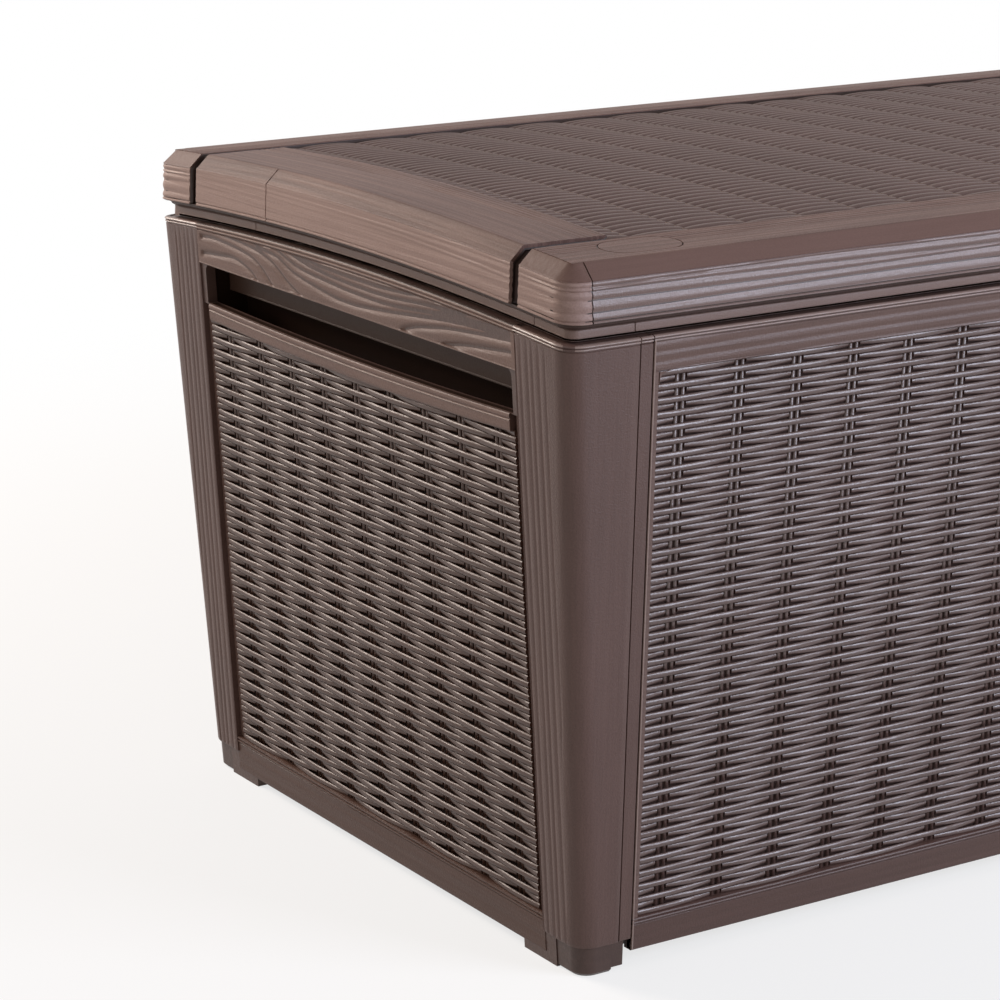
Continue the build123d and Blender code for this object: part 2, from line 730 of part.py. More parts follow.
def hinge_pin(x):
    """Pin through one hinge, with a head at each end."""
    end = hinge_half + fit
    pin = cylinder_x(x - end, x + end, hinge_axis_y, hinge_axis_height, pin_radius)
    for side in (-1, 1):
        pin += cylinder_x(x + side * end, x + side * (end + pin_radius), hinge_axis_y, hinge_axis_height,
                          pin_head_radius)
    return pin


def group(solids):
    """Several alike solids as one node."""
    return Compound(children=[piece.solid() for piece in solids])


# ---------------------------------------------------------------- stays

def stay_points():
    """Lower and upper pivot of the left stay with the lid closed, and the direction between them."""
    foot_point = Vector(-stay_plane, hinge_axis_y + stay_foot_y, hinge_axis_height + stay_foot_z)
    head_point = Vector(-stay_plane, hinge_axis_y + stay_head_y, hinge_axis_height + stay_head_z)
    return foot_point, head_point, (head_point - foot_point).normalized()


def eye(centre):
    """Flat eye at a stay's end."""
    half_width = stay_eye_width / 2
    return cylinder_x(centre.X - half_width, centre.X + half_width, centre.Y, centre.Z, stay_eye_radius)


def stay_tube():
    """Lower, outer half of the left stay, bored for its rod and its pin."""
    foot_point, head_point, along = stay_points()
    start = foot_point + along * (stay_eye_radius + stay_end_gap)
    length = (head_point - start).length - stay_eye_radius - stay_end_gap
    tube = extrude(Plane(origin=start, z_dir=along) * Circle(stay_tube_radius), amount=length)
    bore_start = start + along * stay_end_gap
    bore = extrude(Plane(origin=bore_start, z_dir=along) * Circle(stay_rod_radius + pin_clearance),
                   amount=length)
    neck = extrude(Plane(origin=start, z_dir=-along) * Circle(stay_eye_width / 2), amount=stay_eye_radius)
    hole = cylinder_x(foot_point.X - margin, foot_point.X + margin, foot_point.Y, foot_point.Z,
                      stay_pin_radius + pin_clearance)
    return tube + neck + eye(foot_point) - bore - hole


def stay_rod():
    """Upper, sliding half of the left stay, with its eye and riveted pin head."""
    foot_point, head_point, along = stay_points()
    tail = foot_point + along * (stay_eye_radius + 3 * stay_end_gap)
    length = (head_point - tail).length - stay_eye_radius * 0.9
    rod = extrude(Plane(origin=tail, z_dir=along) * Circle(stay_rod_radius), amount=length)
    outer = head_point.X - stay_eye_width / 2
    head = cylinder_x(outer, outer - stay_head_height, head_point.Y, head_point.Z, stay_head_radius)
    return rod + eye(head_point) + head


def stay_foot_screw_places():
    """Places and directions of the screws that hold the lower bracket to the back left post."""
    foot_point = stay_points()[0]
    places = []
    for side in (-1, 1):
        z = foot_point.Z + side * (stay_bracket_reach - 2 * screw_head_radius)
        x = -half_size(z, post_wall + fit + stay_bracket_wall)[0]
        places.append((Vector(x, foot_point.Y, z), Vector(-1, 0, 0)))
    return places


def stay_foot_bracket():
    """Plate, stand-off and pin on the back left post that carry the stay's lower eye."""
    foot_point = stay_points()[0]
    inner = post_wall + fit
    plate = wall(inner, inner + stay_bracket_wall, foot_point.Z - stay_bracket_reach,
                 foot_point.Z + stay_bracket_reach)
    plate = plate & block(-half_length, 0, foot_point.Y - stay_bracket_half, foot_point.Y + stay_bracket_half,
                          0, box_height)
    plate_x = -half_size(foot_point.Z, inner + stay_bracket_wall / 2)[0]
    eye_outer = foot_point.X - stay_eye_width / 2 - fit
    eye_inner = foot_point.X + stay_eye_width / 2 + fit
    boss = cylinder_x(plate_x, eye_outer, foot_point.Y, foot_point.Z, stay_head_radius)
    pin = cylinder_x(plate_x, eye_inner, foot_point.Y, foot_point.Z, stay_pin_radius)
    head = cylinder_x(eye_inner, eye_inner + stay_head_height, foot_point.Y, foot_point.Z, stay_head_radius)
    bracket = plate + boss + pin + head
    for place in stay_foot_screw_places():
        bracket -= screw(place, panel_screw_grip, screw_clearance)
    return bracket


def stay_head_screw_places():
    """Places and directions of the screws that hold the upper bracket to the lid's liner."""
    head_point = stay_points()[1]
    lug_x = head_point.X + stay_eye_width / 2 + fit + stay_bracket_wall
    places = []
    for side in (-1, 1):
        y = head_point.Y + side * (stay_bracket_reach - 2 * screw_head_radius)
        x = lug_x + 2 * screw_head_radius
        z = liner_bottom + crown_at(y) - fit - stay_bracket_wall
        places.append((Vector(x, y, z), Vector(0, 0, 1)))
    return places


def stay_head_bracket():
    """Lug and plate under the lid's liner, beside the stay's upper eye."""
    head_point = stay_points()[1]
    lug_x = head_point.X + stay_eye_width / 2 + fit
    plate_zone = block(lug_x, lug_x + stay_bracket_wall + 4 * screw_head_radius,
                       head_point.Y - stay_bracket_reach, head_point.Y + stay_bracket_reach, 0, box_height)
    bracket = plate_zone & crowned(liner_bottom - fit - stay_bracket_wall, liner_bottom - fit)
    lug_zone = block(lug_x, lug_x + stay_bracket_wall, head_point.Y - stay_bracket_half,
                     head_point.Y + stay_bracket_half, head_point.Z, box_height)
    bracket += lug_zone & crowned(0, liner_bottom - fit)
    bracket += cylinder_x(lug_x, lug_x + stay_bracket_wall, head_point.Y, head_point.Z, stay_bracket_half)
    for place in stay_head_screw_places():
        bracket -= screw(place, lid_bracket_grip, screw_clearance)
    return bracket


# ---------------------------------------------------------------- all the pieces

def corner_nodes():
    """Posts, feet and lid caps at the four corners."""
    post_shape = post()
    foot_shape = foot()
    cap_shape = corner_cap(lid_skin())
    nodes = {}
    for side_name, mirror_x in (("left", False), ("right", True)):
        for depth_name, mirror_y in (("front", False), ("back", True)):
            corner = depth_name + "_" + side_name
            nodes[corner + "_post"] = mirrored(post_shape, mirror_x, mirror_y)
            nodes[corner + "_foot"] = mirrored(foot_shape, mirror_x, mirror_y)
            nodes["lid_" + corner + "_cap"] = mirrored(cap_shape, mirror_x, mirror_y)
        post_with_stay = nodes["back_" + side_name + "_post"]
        for place in stay_foot_screw_places():
            post_with_stay -= mirrored(screw(place, panel_screw_grip, screw_clearance), mirror_x, False)
        nodes["back_" + side_name + "_post"] = post_with_stay
    return nodes


def end_nodes():
    """Pieces that the left and right ends share."""
    shapes = {"side_panel": side_panel(), "woven_field": end_weave(), "handle_pocket": handle_pocket(),
              "lid_beam": end_beam(lid_skin()), "lid_plug": lid_plug(),
              "stay_tube": stay_tube(), "stay_rod": stay_rod(),
              "stay_foot_bracket": stay_foot_bracket(), "stay_head_bracket": stay_head_bracket()}
    nodes = {}
    for side_name, mirror_x in (("left", False), ("right", True)):
        for name, shape in shapes.items():
            nodes[side_name + "_" + name] = mirrored(shape, mirror_x, False)
    return nodes


def long_nodes():
    """Front, back, floor and the lid's long and middle pieces."""
    panel = long_panel()
    back = mirrored(panel, False, True)
    for place in body_leaf_screw_places():
        back -= screw(place, body_screw_grip, screw_clearance)
    weave = long_weave()
    skin = lid_skin()
    return {"front_panel": panel, "back_panel": back, "floor_panel": floor_panel(),
            "front_woven_field": weave, "back_woven_field": mirrored(weave, False, True),
            "lid_front_beam": front_beam(skin), "lid_back_beam": back_beam(skin),
            "lid_deck": lid_deck(), "lid_liner": lid_liner()}


def fastener_nodes():
    """Hinges, their pins and every group of screws."""
    foot_screws = [screw(place, panel_screw_grip) for place in stay_foot_screw_places()]
    head_screws = [screw(place, lid_bracket_grip) for place in stay_head_screw_places()]
    foot_screws += [mirrored(piece, True, False) for piece in foot_screws]
    head_screws += [mirrored(piece, True, False) for piece in head_screws]
    lid_screws = [screw(place, lid_screw_grip) for place in lid_leaf_screw_places()]
    body_screws = [screw(place, body_screw_grip) for place in body_leaf_screw_places()]
    return {"body_hinge_leaves": group([body_leaf(x) for x in hinge_middles]),
            "lid_hinge_leaves": group([lid_leaf(x) for x in hinge_middles]),
            "hinge_pins": group([hinge_pin(x) for x in hinge_middles]),
            "panel_screws": panel_screws(),
            "body_hinge_screws": group(body_screws), "lid_hinge_screws": group(lid_screws),
            "stay_foot_screws": group(foot_screws), "stay_head_screws": group(head_screws)}


os.makedirs("parts", exist_ok=True)
for name, piece in {**corner_nodes(), **end_nodes(), **long_nodes(), **fastener_nodes()}.items():
    export_step(piece, "parts/" + name + ".step")
    print(name, "solids", len(piece.solids()), "volume in cm3", round(piece.volume / 1000, 1))
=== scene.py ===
import bpy
import bmesh
import json
import math
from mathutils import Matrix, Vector

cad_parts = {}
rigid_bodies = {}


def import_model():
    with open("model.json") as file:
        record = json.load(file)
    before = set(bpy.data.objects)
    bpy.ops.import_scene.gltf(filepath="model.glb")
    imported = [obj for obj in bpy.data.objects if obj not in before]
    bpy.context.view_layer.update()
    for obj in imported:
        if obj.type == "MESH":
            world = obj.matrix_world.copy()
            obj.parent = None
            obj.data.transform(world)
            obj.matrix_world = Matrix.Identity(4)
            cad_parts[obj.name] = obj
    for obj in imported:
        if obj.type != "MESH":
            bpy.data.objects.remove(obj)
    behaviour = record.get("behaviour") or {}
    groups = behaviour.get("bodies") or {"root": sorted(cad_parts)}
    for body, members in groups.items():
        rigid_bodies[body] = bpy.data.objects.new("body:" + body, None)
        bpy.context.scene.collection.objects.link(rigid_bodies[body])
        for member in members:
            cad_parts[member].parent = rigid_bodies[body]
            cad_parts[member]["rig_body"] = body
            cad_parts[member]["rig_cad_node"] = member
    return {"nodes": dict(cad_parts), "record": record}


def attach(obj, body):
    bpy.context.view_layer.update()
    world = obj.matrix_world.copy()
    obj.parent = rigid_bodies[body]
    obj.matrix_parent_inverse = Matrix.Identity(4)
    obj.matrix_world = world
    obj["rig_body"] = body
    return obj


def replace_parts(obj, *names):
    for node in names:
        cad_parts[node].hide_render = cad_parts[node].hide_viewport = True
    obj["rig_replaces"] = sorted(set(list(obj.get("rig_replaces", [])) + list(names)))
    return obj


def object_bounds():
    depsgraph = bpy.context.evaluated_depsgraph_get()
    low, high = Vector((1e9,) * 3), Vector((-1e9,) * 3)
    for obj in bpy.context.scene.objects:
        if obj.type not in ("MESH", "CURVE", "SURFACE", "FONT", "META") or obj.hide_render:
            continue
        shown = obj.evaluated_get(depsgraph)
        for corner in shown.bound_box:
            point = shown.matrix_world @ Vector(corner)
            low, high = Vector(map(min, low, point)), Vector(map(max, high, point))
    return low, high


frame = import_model()
cadLow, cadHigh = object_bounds()
nodes = frame["nodes"]
print("frame loaded:", len(nodes), "nodes")

# sizes in mm, shared by the pieces below
halfLength = cadHigh.x * 1000
halfDepth = cadHigh.y * 1000
boxTop = cadHigh.z * 1000
lidCrown = 12.0
edgeTop = boxTop - lidCrown     # top of the lid at its front and back edges
fasciaHeight = 46.5
fasciaFoot = edgeTop - fasciaHeight
rim = 549.0                     # top of the body
crownRadius = (halfDepth ** 2 + lidCrown ** 2) / (2 * lidCrown)
body = {"overhang": 3.0, "sideLean": 33.0, "frontLean": 24.0, "cornerRadius": 18.0}


def crownAt(y):
    y = min(abs(y), halfDepth)
    return lidCrown - crownRadius + math.sqrt(crownRadius ** 2 - y ** 2)


def bodyHalf(height, out):
    # half length and half depth of the leaning body, out from the posts' faces
    drop = (rim - height) / rim
    return (halfLength - body["overhang"] - body["sideLean"] * drop + out,
            halfDepth - body["overhang"] - body["frontLean"] * drop + out)


def blendTo(start, end, share):
    return start + (end - start) * share


def clamped(share):
    return min(1.0, max(0.0, share))


def spread(start, end, count):
    return [blendTo(start, end, index / count) for index in range(count + 1)]


def clearSelection():
    if bpy.context.object and bpy.context.object.mode != "OBJECT":
        bpy.ops.object.mode_set(mode="OBJECT")
    bpy.ops.object.select_all(action="DESELECT")


def pick(piece):
    clearSelection()
    piece.select_set(True)
    bpy.context.view_layer.objects.active = piece


def applyModifier(piece, kind, settings):
    pick(piece)
    modifier = piece.modifiers.new(kind.title(), kind)
    for setting, value in settings.items():
        setattr(modifier, setting, value)
    bpy.ops.object.modifier_apply(modifier=modifier.name)


def applyPlace(piece):
    pick(piece)
    bpy.ops.object.transform_apply(location=True, rotation=True, scale=True)


def smooth(piece, degrees=35):
    pick(piece)
    bpy.ops.object.shade_smooth_by_angle(angle=math.radians(degrees))


def dress(piece, name, material, slotName="woven_resin", bodyName="root", *replaced):
    piece.name = name
    piece.data.name = name
    piece.data.materials.clear()
    piece.data.materials.append(material)
    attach(piece, bodyName)
    if replaced:
        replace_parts(piece, *replaced)
    return piece


def paintWhere(piece, material, isThere):
    # a second finish on the faces whose middle passes the test
    piece.data.materials.append(material)
    for face in piece.data.polygons:
        if isThere(face.center * 1000):
            face.material_index = len(piece.data.materials) - 1


def mirroredCopy(piece, name, flipX, flipY, *replaced):
    # same piece for another side or corner, with its own mesh
    twin = piece.copy()
    twin.data = piece.data.copy()
    bpy.context.collection.objects.link(twin)
    for vertex in twin.data.vertices:
        vertex.co.x *= -1 if flipX else 1
        vertex.co.y *= -1 if flipY else 1
    if flipX != flipY:
        twin.data.flip_normals()
    if "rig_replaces" in twin:
        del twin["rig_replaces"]
    twin.name = twin.data.name = name
    if replaced:
        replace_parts(twin, *replaced)
    return twin


def toBack(piece, name, *replaced):
    mirroredCopy(piece, name, False, True, *replaced)


def toRight(piece, name, *replaced):
    mirroredCopy(piece, name, True, False, *replaced)


def toOtherCorners(piece, before, after):
    # copies of a front left piece for the other three corners
    for corner, flipX, flipY in (("front_right", True, False), ("back_left", False, True),
                                 ("back_right", True, True)):
        mirroredCopy(piece, before + corner + after, flipX, flipY)


def repeated(piece, count, step):
    applyModifier(piece, "ARRAY", {"count": count, "use_relative_offset": False, "use_constant_offset": True,
                                   "constant_offset_displace": step})


def reliefSkin(alongs, rows, place, outward, thickness=2.0):
    # a grid whose columns run along a face and whose rows follow its profile, thickened inwards
    clearSelection()
    columns, steps = len(alongs) - 1, len(rows) - 1
    bpy.ops.mesh.primitive_grid_add(x_subdivisions=columns, y_subdivisions=steps, size=1)
    skin = bpy.context.object
    for vertex in skin.data.vertices:
        along = alongs[round((vertex.co.x + 0.5) * columns)]
        row = rows[round((vertex.co.y + 0.5) * steps)]
        vertex.co = Vector(place(along, row)) * 0.001
    skin.data.update()
    facing = sum((face.normal * face.area for face in skin.data.polygons), Vector())
    if facing.dot(Vector(outward)) < 0:
        skin.data.flip_normals()
    applyModifier(skin, "SOLIDIFY", {"thickness": thickness * 0.001, "offset": -1})
    smooth(skin)
    return skin


def linear(hexColour):
    channels = [int(hexColour[start:start + 2], 16) / 255 for start in (1, 3, 5)]
    return tuple(c / 12.92 if c <= 0.04045 else ((c + 0.055) / 1.055) ** 2.4 for c in channels) + (1.0,)


def addNode(material, kind, settings=None, inputs=None):
    # inputs may be values or (node, output name)
    tree = material.node_tree
    node = tree.nodes.new("ShaderNode" + kind)
    for setting, value in (settings or {}).items():
        setattr(node, setting, value)
    for name, value in (inputs or {}).items():
        if isinstance(value, tuple) and isinstance(value[0], bpy.types.Node):
            tree.links.new(value[0].outputs[value[1]], node.inputs[name])
        else:
            node.inputs[name].default_value = value
    return node


def newMaterial(name):
    material = bpy.data.materials.new(name)
    material.use_nodes = True
    material.node_tree.nodes.clear()
    return material


def mouldedResin(name, values):
    # injection moulded polypropylene: a satin skin with fine speckle from the mould's texture and long
    # streaks where the mould is cut like wood
    material = newMaterial(name)
    place = addNode(material, "TexCoord")
    size = values["streakSize"]
    stretched = addNode(material, "Mapping", {}, {
        "Vector": (place, "Object"), "Scale": tuple(1000 / length for length in size)})
    streaks = addNode(material, "TexNoise", {}, {
        "Vector": (stretched, "Vector"), "Scale": 1.0, "Detail": 3.0, "Roughness": 0.55})
    speckle = addNode(material, "TexNoise", {}, {
        "Vector": (place, "Object"), "Scale": 1000 / values["speckleSize"], "Detail": 2.0, "Roughness": 0.6})
    clouds = addNode(material, "TexNoise", {}, {
        "Vector": (place, "Object"), "Scale": 1000 / values["cloudSize"], "Detail": 2.0})
    tones = [addNode(material, "MapRange", {}, {
        "Value": (pattern, "Fac"), "From Min": low, "From Max": 1 - low, "To Min": 0.0, "To Max": values[amount]})
        for pattern, low, amount in ((clouds, 0.3, "cloudShare"), (streaks, 0.35, "streakShare"),
                                     (speckle, 0.3, "speckleShare"))]
    share = addNode(material, "Math", {"operation": "ADD"},
                    {0: (tones[0], "Result"), 1: (tones[1], "Result")})
    share = addNode(material, "Math", {"operation": "ADD", "use_clamp": True},
                    {0: (share, "Value"), 1: (tones[2], "Result")})
    colour = addNode(material, "Mix", {"data_type": "RGBA"}, {
        "Factor": (share, "Value"), 6: linear(values["colour"]), 7: linear(values["shade"])})
    rough = addNode(material, "MapRange", {}, {
        "Value": (speckle, "Fac"), "From Min": 0.3, "From Max": 0.7,
        "To Min": values["roughness"] - 0.05, "To Max": values["roughness"] + 0.06})
    fine = addNode(material, "Bump", {}, {
        "Height": (speckle, "Fac"), "Strength": values["speckleBump"], "Distance": 0.0004})
    grain = addNode(material, "Bump", {}, {
        "Height": (streaks, "Fac"), "Strength": values["streakBump"], "Distance": 0.001,
        "Normal": (fine, "Normal")})
    shader = addNode(material, "BsdfPrincipled", {}, {
        "Base Color": (colour, 2), "Roughness": (rough, "Result"), "Normal": (grain, "Normal"), "IOR": 1.49,
        "Specular IOR Level": values["specular"]})
    addNode(material, "OutputMaterial", {}, {"Surface": (shader, "BSDF")})
    return material


def coatedSteel(name, values):
    # sheet steel or rod: plated ones are bright with fine drawing lines, coated ones are dull with orange peel
    material = newMaterial(name)
    place = addNode(material, "TexCoord")
    stretched = addNode(material, "Mapping", {}, {
        "Vector": (place, "Object"), "Scale": tuple(1000 / length for length in values["lineSize"])})
    lines = addNode(material, "TexNoise", {}, {
        "Vector": (stretched, "Vector"), "Scale": 1.0, "Detail": 3.0})
    peel = addNode(material, "TexNoise", {}, {
        "Vector": (place, "Object"), "Scale": 1000 / values["peelSize"], "Detail": 1.0})
    colour = addNode(material, "Mix", {"data_type": "RGBA"}, {
        "Factor": (lines, "Fac"), 6: linear(values["colour"]), 7: linear(values["shade"])})
    rough = addNode(material, "MapRange", {}, {
        "Value": (lines, "Fac"), "From Min": 0.3, "From Max": 0.7,
        "To Min": values["roughness"] - 0.05, "To Max": values["roughness"] + 0.08})
    bump = addNode(material, "Bump", {}, {
        "Height": (peel, "Fac"), "Strength": values["peelBump"], "Distance": 0.0003})
    shader = addNode(material, "BsdfPrincipled", {}, {
        "Base Color": (colour, 2), "Metallic": values["metallic"], "Roughness": (rough, "Result"),
        "Normal": (bump, "Normal")})
    addNode(material, "OutputMaterial", {}, {"Surface": (shader, "BSDF")})
    return material


resinValues = {"streakSize": (150, 5, 5), "speckleSize": 1.3, "cloudSize": 160, "cloudShare": 0.25,
               "streakShare": 0.35, "speckleShare": 0.35, "roughness": 0.42, "specular": 0.35,
               "speckleBump": 0.35, "streakBump": 0.35}   # sizes in mm
woodTop = {"streakShare": 0.7, "streakBump": 0.6, "roughness": 0.55, "specular": 0.25}
plainMould = {"streakSize": (30, 30, 30), "streakShare": 0.1, "streakBump": 0.1}


def resinWith(use, colour="#5c4740", shade="#47352f", finish="moulded", **changes):
    values = {**resinValues, "colour": colour, "shade": shade, **changes}
    return mouldedResin(finish + " polypropylene, " + use, values)


lidTopResin = resinWith("lid's top, grain along the box", "#7e6258", "#573f38", streakSize=(220, 3.5, 60),
                        **woodTop)
lidEndResin = resinWith("lid's top, grain across the box", "#7a5f55", "#573f38", streakSize=(3.5, 220, 60),
                        **woodTop)
fasciaResin = resinWith("lid's fascia, grain along the box", "#755e57", "#5d4841", "polished",
                        streakSize=(180, 4, 3), roughness=0.4, specular=0.7, speckleBump=0.9)
# painted light: the fascia of the ends and caps is a much lighter copy of the fascia's resin, for the light on the
# ends
endFasciaLitResin = resinWith("lid's fascia, grain across the box", "#9f867d", "#826a61", "polished",
                           streakSize=(5, 180, 2.5), streakBump=0.5, roughness=0.5, specular=0.35,
                           speckleBump=0.7)
# painted shade: the bevel is a darker copy of the lid's resin with plainer grain
bevelShadeResin = resinWith("lid's plain bevel", "#6e554d", "#634b43", roughness=0.5, specular=0.2)
# painted shade: the lid's core is a dark copy of the resin, for the shade in the joints between the lid's skins
lidJointShadeResin = resinWith("lid's core", "#3f302b", "#30241f")
deckResin = resinWith("lid's weave", "#66504a", "#513f39", streakSize=(40, 2.5, 2.5), roughness=0.5,
                      specular=0.25)
# painted highlight: the deck's cross bars are lighter than its strands, for the light bands where the strands dip
deckRibHighlightResin = resinWith("cross bars of the lid's weave", "#7d685f", "#6a5750", roughness=0.5, specular=0.25)
# painted shade: a dark copy of the resin for the deck's ground between the strands
deckGroundShadeResin = resinWith("ground of the lid's weave", "#33241f", "#281b17", roughness=0.6, specular=0.2)
postResin = resinWith("posts", "#624b44", "#4d3a34", streakSize=(5, 5, 160), streakShare=0.2, speckleSize=1.6,
                      speckleBump=0.9)
railResin = resinWith("long rails", "#6b544c", "#523e37", streakSize=(180, 4, 4), streakBump=0.5,
                      speckleSize=1.6, speckleBump=0.9)
# painted shade: the bottom rails are darker copies of the rails' resin, for the light falling off near the floor
footRailShadeResin = resinWith("long bottom rails", "#574039", "#47342e", streakSize=(180, 4, 4), speckleSize=1.6,
                          speckleBump=0.8)
endFootRailShadeResin = resinWith("end bottom rails", "#563d33", "#463128", streakSize=(4, 180, 4), specular=0.25,
                             speckleSize=1.6, speckleBump=0.8)
# painted highlight: the rolled edges and the panels' edges are much lighter copies of the resin, for the light they
# catch
endBeadHighlightResin = resinWith("rolled edges of the ends", "#8a746b", "#766159", streakSize=(60, 60, 60),
                         roughness=0.55, specular=0.25)
beadHighlightResin = resinWith("rolled edges", "#917c73", "#7c675f", "polished", streakSize=(60, 60, 60),
                      roughness=0.36, specular=0.65)
# painted light: the end rails, lips and stiles are a lighter copy of the rails' resin, for the light on the ends;
# the grain across is their own
endRailLitResin = resinWith("end rails", "#765e55", "#5c473f", streakSize=(4, 180, 4), streakBump=0.5,
                         roughness=0.5, specular=0.3, speckleSize=1.6, speckleBump=0.8)
weaveResin = resinWith("long weave", "#5f4943", "#4a3731", streakSize=(40, 2, 2), roughness=0.3, specular=0.7)
endWeaveResin = resinWith("end weave", "#51382d", "#3f2a21", streakSize=(2, 40, 2), roughness=0.38,
                          specular=0.42)
# painted shade: dark copies of the resin for the sheets behind the weaves, the ends' darker
longGroundShadeResin = resinWith("ground of the long weave", "#372823", "#291c18", roughness=0.65, specular=0.15)
endGroundShadeResin = resinWith("ground of the end weave", "#241712", "#190f0b", roughness=0.65, specular=0.1)
# painted shade: a darker copy of the resin for faces that lie in shade under the lid's edge
underLidShadeResin = resinWith("lid's underside", "#4a3933", "#392b26", specular=0.2)
# painted shadow: a near black copy of the resin for the gap between the lid and the rim
lidGapShadowResin = resinWith("inside the lid's joint", "#140d0a", "#0e0907", roughness=0.7, specular=0.0)
panelResin = resinWith("panels' wall")
innerResin = resinWith("inner parts", "#4a3a34", "#392c27", **plainMould)
# painted shade: the hand pockets are a near black copy of the resin, for the shade inside them
pocketShadeResin = resinWith("hand pockets", "#2a1c16", "#1f140f", specular=0.05, **plainMould)
gripResin = resinWith("hand pockets' grip wall", "#4b3930", "#3b2c25", specular=0.1,
                      **{**plainMould, "streakSize": (30, 60, 30)})
linerResin = resinWith("inner lid", "#7d675e", "#665149", speckleBump=0.6, **plainMould)
footResin = resinWith("feet", "#523f38", "#3f2f2a", streakSize=(60, 6, 6))
plugResin = resinWith("plugs", "#7e6258", "#573f38", streakSize=(220, 3.5, 60), **woodTop)
zincSteel = coatedSteel("zinc plated steel, drawn", {
    "colour": "#c2c0bb", "shade": "#a5a39e", "lineSize": (2, 2, 30), "peelSize": 0.8, "peelBump": 0.1,
    "metallic": 1.0, "roughness": 0.32})
powderSteel = coatedSteel("powder coated steel sheet, baked", {
    "colour": "#40352f", "shade": "#362c27", "lineSize": (6, 6, 6), "peelSize": 1.2, "peelBump": 0.4,
    "metallic": 0.0, "roughness": 0.5})
enamelSteel = coatedSteel("enamelled steel tube, baked", {
    "colour": "#211e1c", "shade": "#191716", "lineSize": (8, 8, 40), "peelSize": 1.6, "peelBump": 0.2,
    "metallic": 0.0, "roughness": 0.3})
slotMaterials = {"moulded_resin": postResin, "woven_resin": panelResin, "lid_resin": lidTopResin,
                 "inner_resin": innerResin, "foot_resin": footResin, "plug_resin": plugResin,
                 "hinge_steel": powderSteel, "bright_steel": zincSteel, "stay_steel": enamelSteel}
for part in frame["record"]["subparts"]:
    mesh = nodes[part["node"]].data
    mesh.materials.clear()
    mesh.materials.append(slotMaterials[part["material_slot"]])
# the hand pockets get the near black painted shade
for side in ("left", "right"):
    nodes[side + "_handle_pocket"].data.materials[0] = pocketShadeResin
nodes["lid_liner"].data.materials[0] = linerResin
print("materials ready")

lid = {
    "creases": (0.0, 4.2, 9.3, 15.0, 24.0, 33.0),   # down the fascia from the bevel, mm
    "creaseDepth": 1.15, "creaseSoftness": 0.6, "creasePower": 1.3,
    "creaseDrift": 1.4, "driftLength": 110.0, "driftPhase": 1.9,
    # shares of that depth at the caps' gap and at the end beams' front and back, and where it fades
    "capNear": 0.4, "endNear": 0.55, "endDepth": 0.12, "fadeStart": -270.0, "fadeRun": 330.0,
    "bevelHeight": 34.0, "flare": 1.46, "bevelInset": 14.5, "frontWidth": 70.0, "endWidth": 95.0,
    "gap": 13.0, "capWrap": 25.0, "cornerRadius": 21.0, "coreGap": 1.0,
    "seam": 1.2, "seamAt": 133.0, "seamDepth": 1.2, "seamHalf": 0.5,
    "topGrooves": 5, "grooveBand": 26.0, "grooveDepth": 0.6, "groovePower": 1.5, "grooveDrift": 0.8,
    "grooveWave": 70.0,
}


def creaseDepthAt(height, along):
    # rounded bands between narrow creases, each of which drifts a little along the beam
    down = lid["bevelHeight"] - height
    last = len(lid["creases"]) - 1
    levels = []
    for index, level in enumerate(lid["creases"]):
        drift = lid["creaseDrift"] * math.sin(along / lid["driftLength"] + lid["driftPhase"] * index)
        levels.append(level + (drift if 0 < index < last else 0))
    for low, high in zip(levels, levels[1:]):
        if low <= down <= high:
            share = (down - low) / (high - low)
            sharp = (1 - math.sin(math.pi * share)) ** lid["creasePower"]
            soft = 0.5 + 0.5 * math.cos(2 * math.pi * share)
            return lid["creaseDepth"] * blendTo(sharp, soft, lid["creaseSoftness"])
    return 0.0


fasciaRows = [(3.0, 0.0), (0.6, 0.1), (0.1, 0.5), (0.1, 1.5), (0.6, 1.9), (1.2, 2.2), (1.2, 2.8), (0.5, 3.2)]
fasciaRows += [(None, height) for height in spread(3.6, 33.4, 44)]
bevelRows = [(lid["flare"], lid["bevelHeight"]), (lid["flare"] + 0.5, lid["bevelHeight"] + 0.7)]
bevelRows += [(blendTo(2.6, 13.7, share), blendTo(35.2, 45.7, share)) for share in spread(0, 1, 4)]
bevelRows += [(lid["bevelInset"] - 0.2, fasciaHeight - 0.35), (lid["bevelInset"] + 0.8, fasciaHeight)]


def lidInset(row, along, amount=1.0):
    inset, height = row
    if inset is None:
        return height / lid["bevelHeight"] * lid["flare"] + creaseDepthAt(height, along) * amount
    return inset


def topRows(width):
    first = lid["bevelInset"] + 2.5
    return [(inset, fasciaHeight) for inset in spread(first, width - 0.6, 60)] + [
        (width - 0.2, fasciaHeight - 0.4), (width, fasciaHeight - 1.5)]


def topGroove(inset, width, along):
    # shallow grooves along the deck's side of a beam
    fromDeck = width - inset + lid["grooveDrift"] * math.sin(along / lid["grooveWave"])
    if fromDeck > lid["grooveBand"] or fromDeck < 0.5:
        return 0.0
    share = fromDeck / lid["grooveBand"] * lid["topGrooves"]
    return lid["grooveDepth"] * (1 - abs(math.sin(math.pi * share))) ** lid["groovePower"]


def topHeight(row, inset, width, along):
    return row[1] - (topGroove(inset, width, along) if row[1] == fasciaHeight else 0)


def longBeamPlace(along, row):
    inset = lidInset(row, along)
    y = -halfDepth + inset
    return along, y, fasciaFoot + topHeight(row, inset, lid["frontWidth"], along) + crownAt(y)


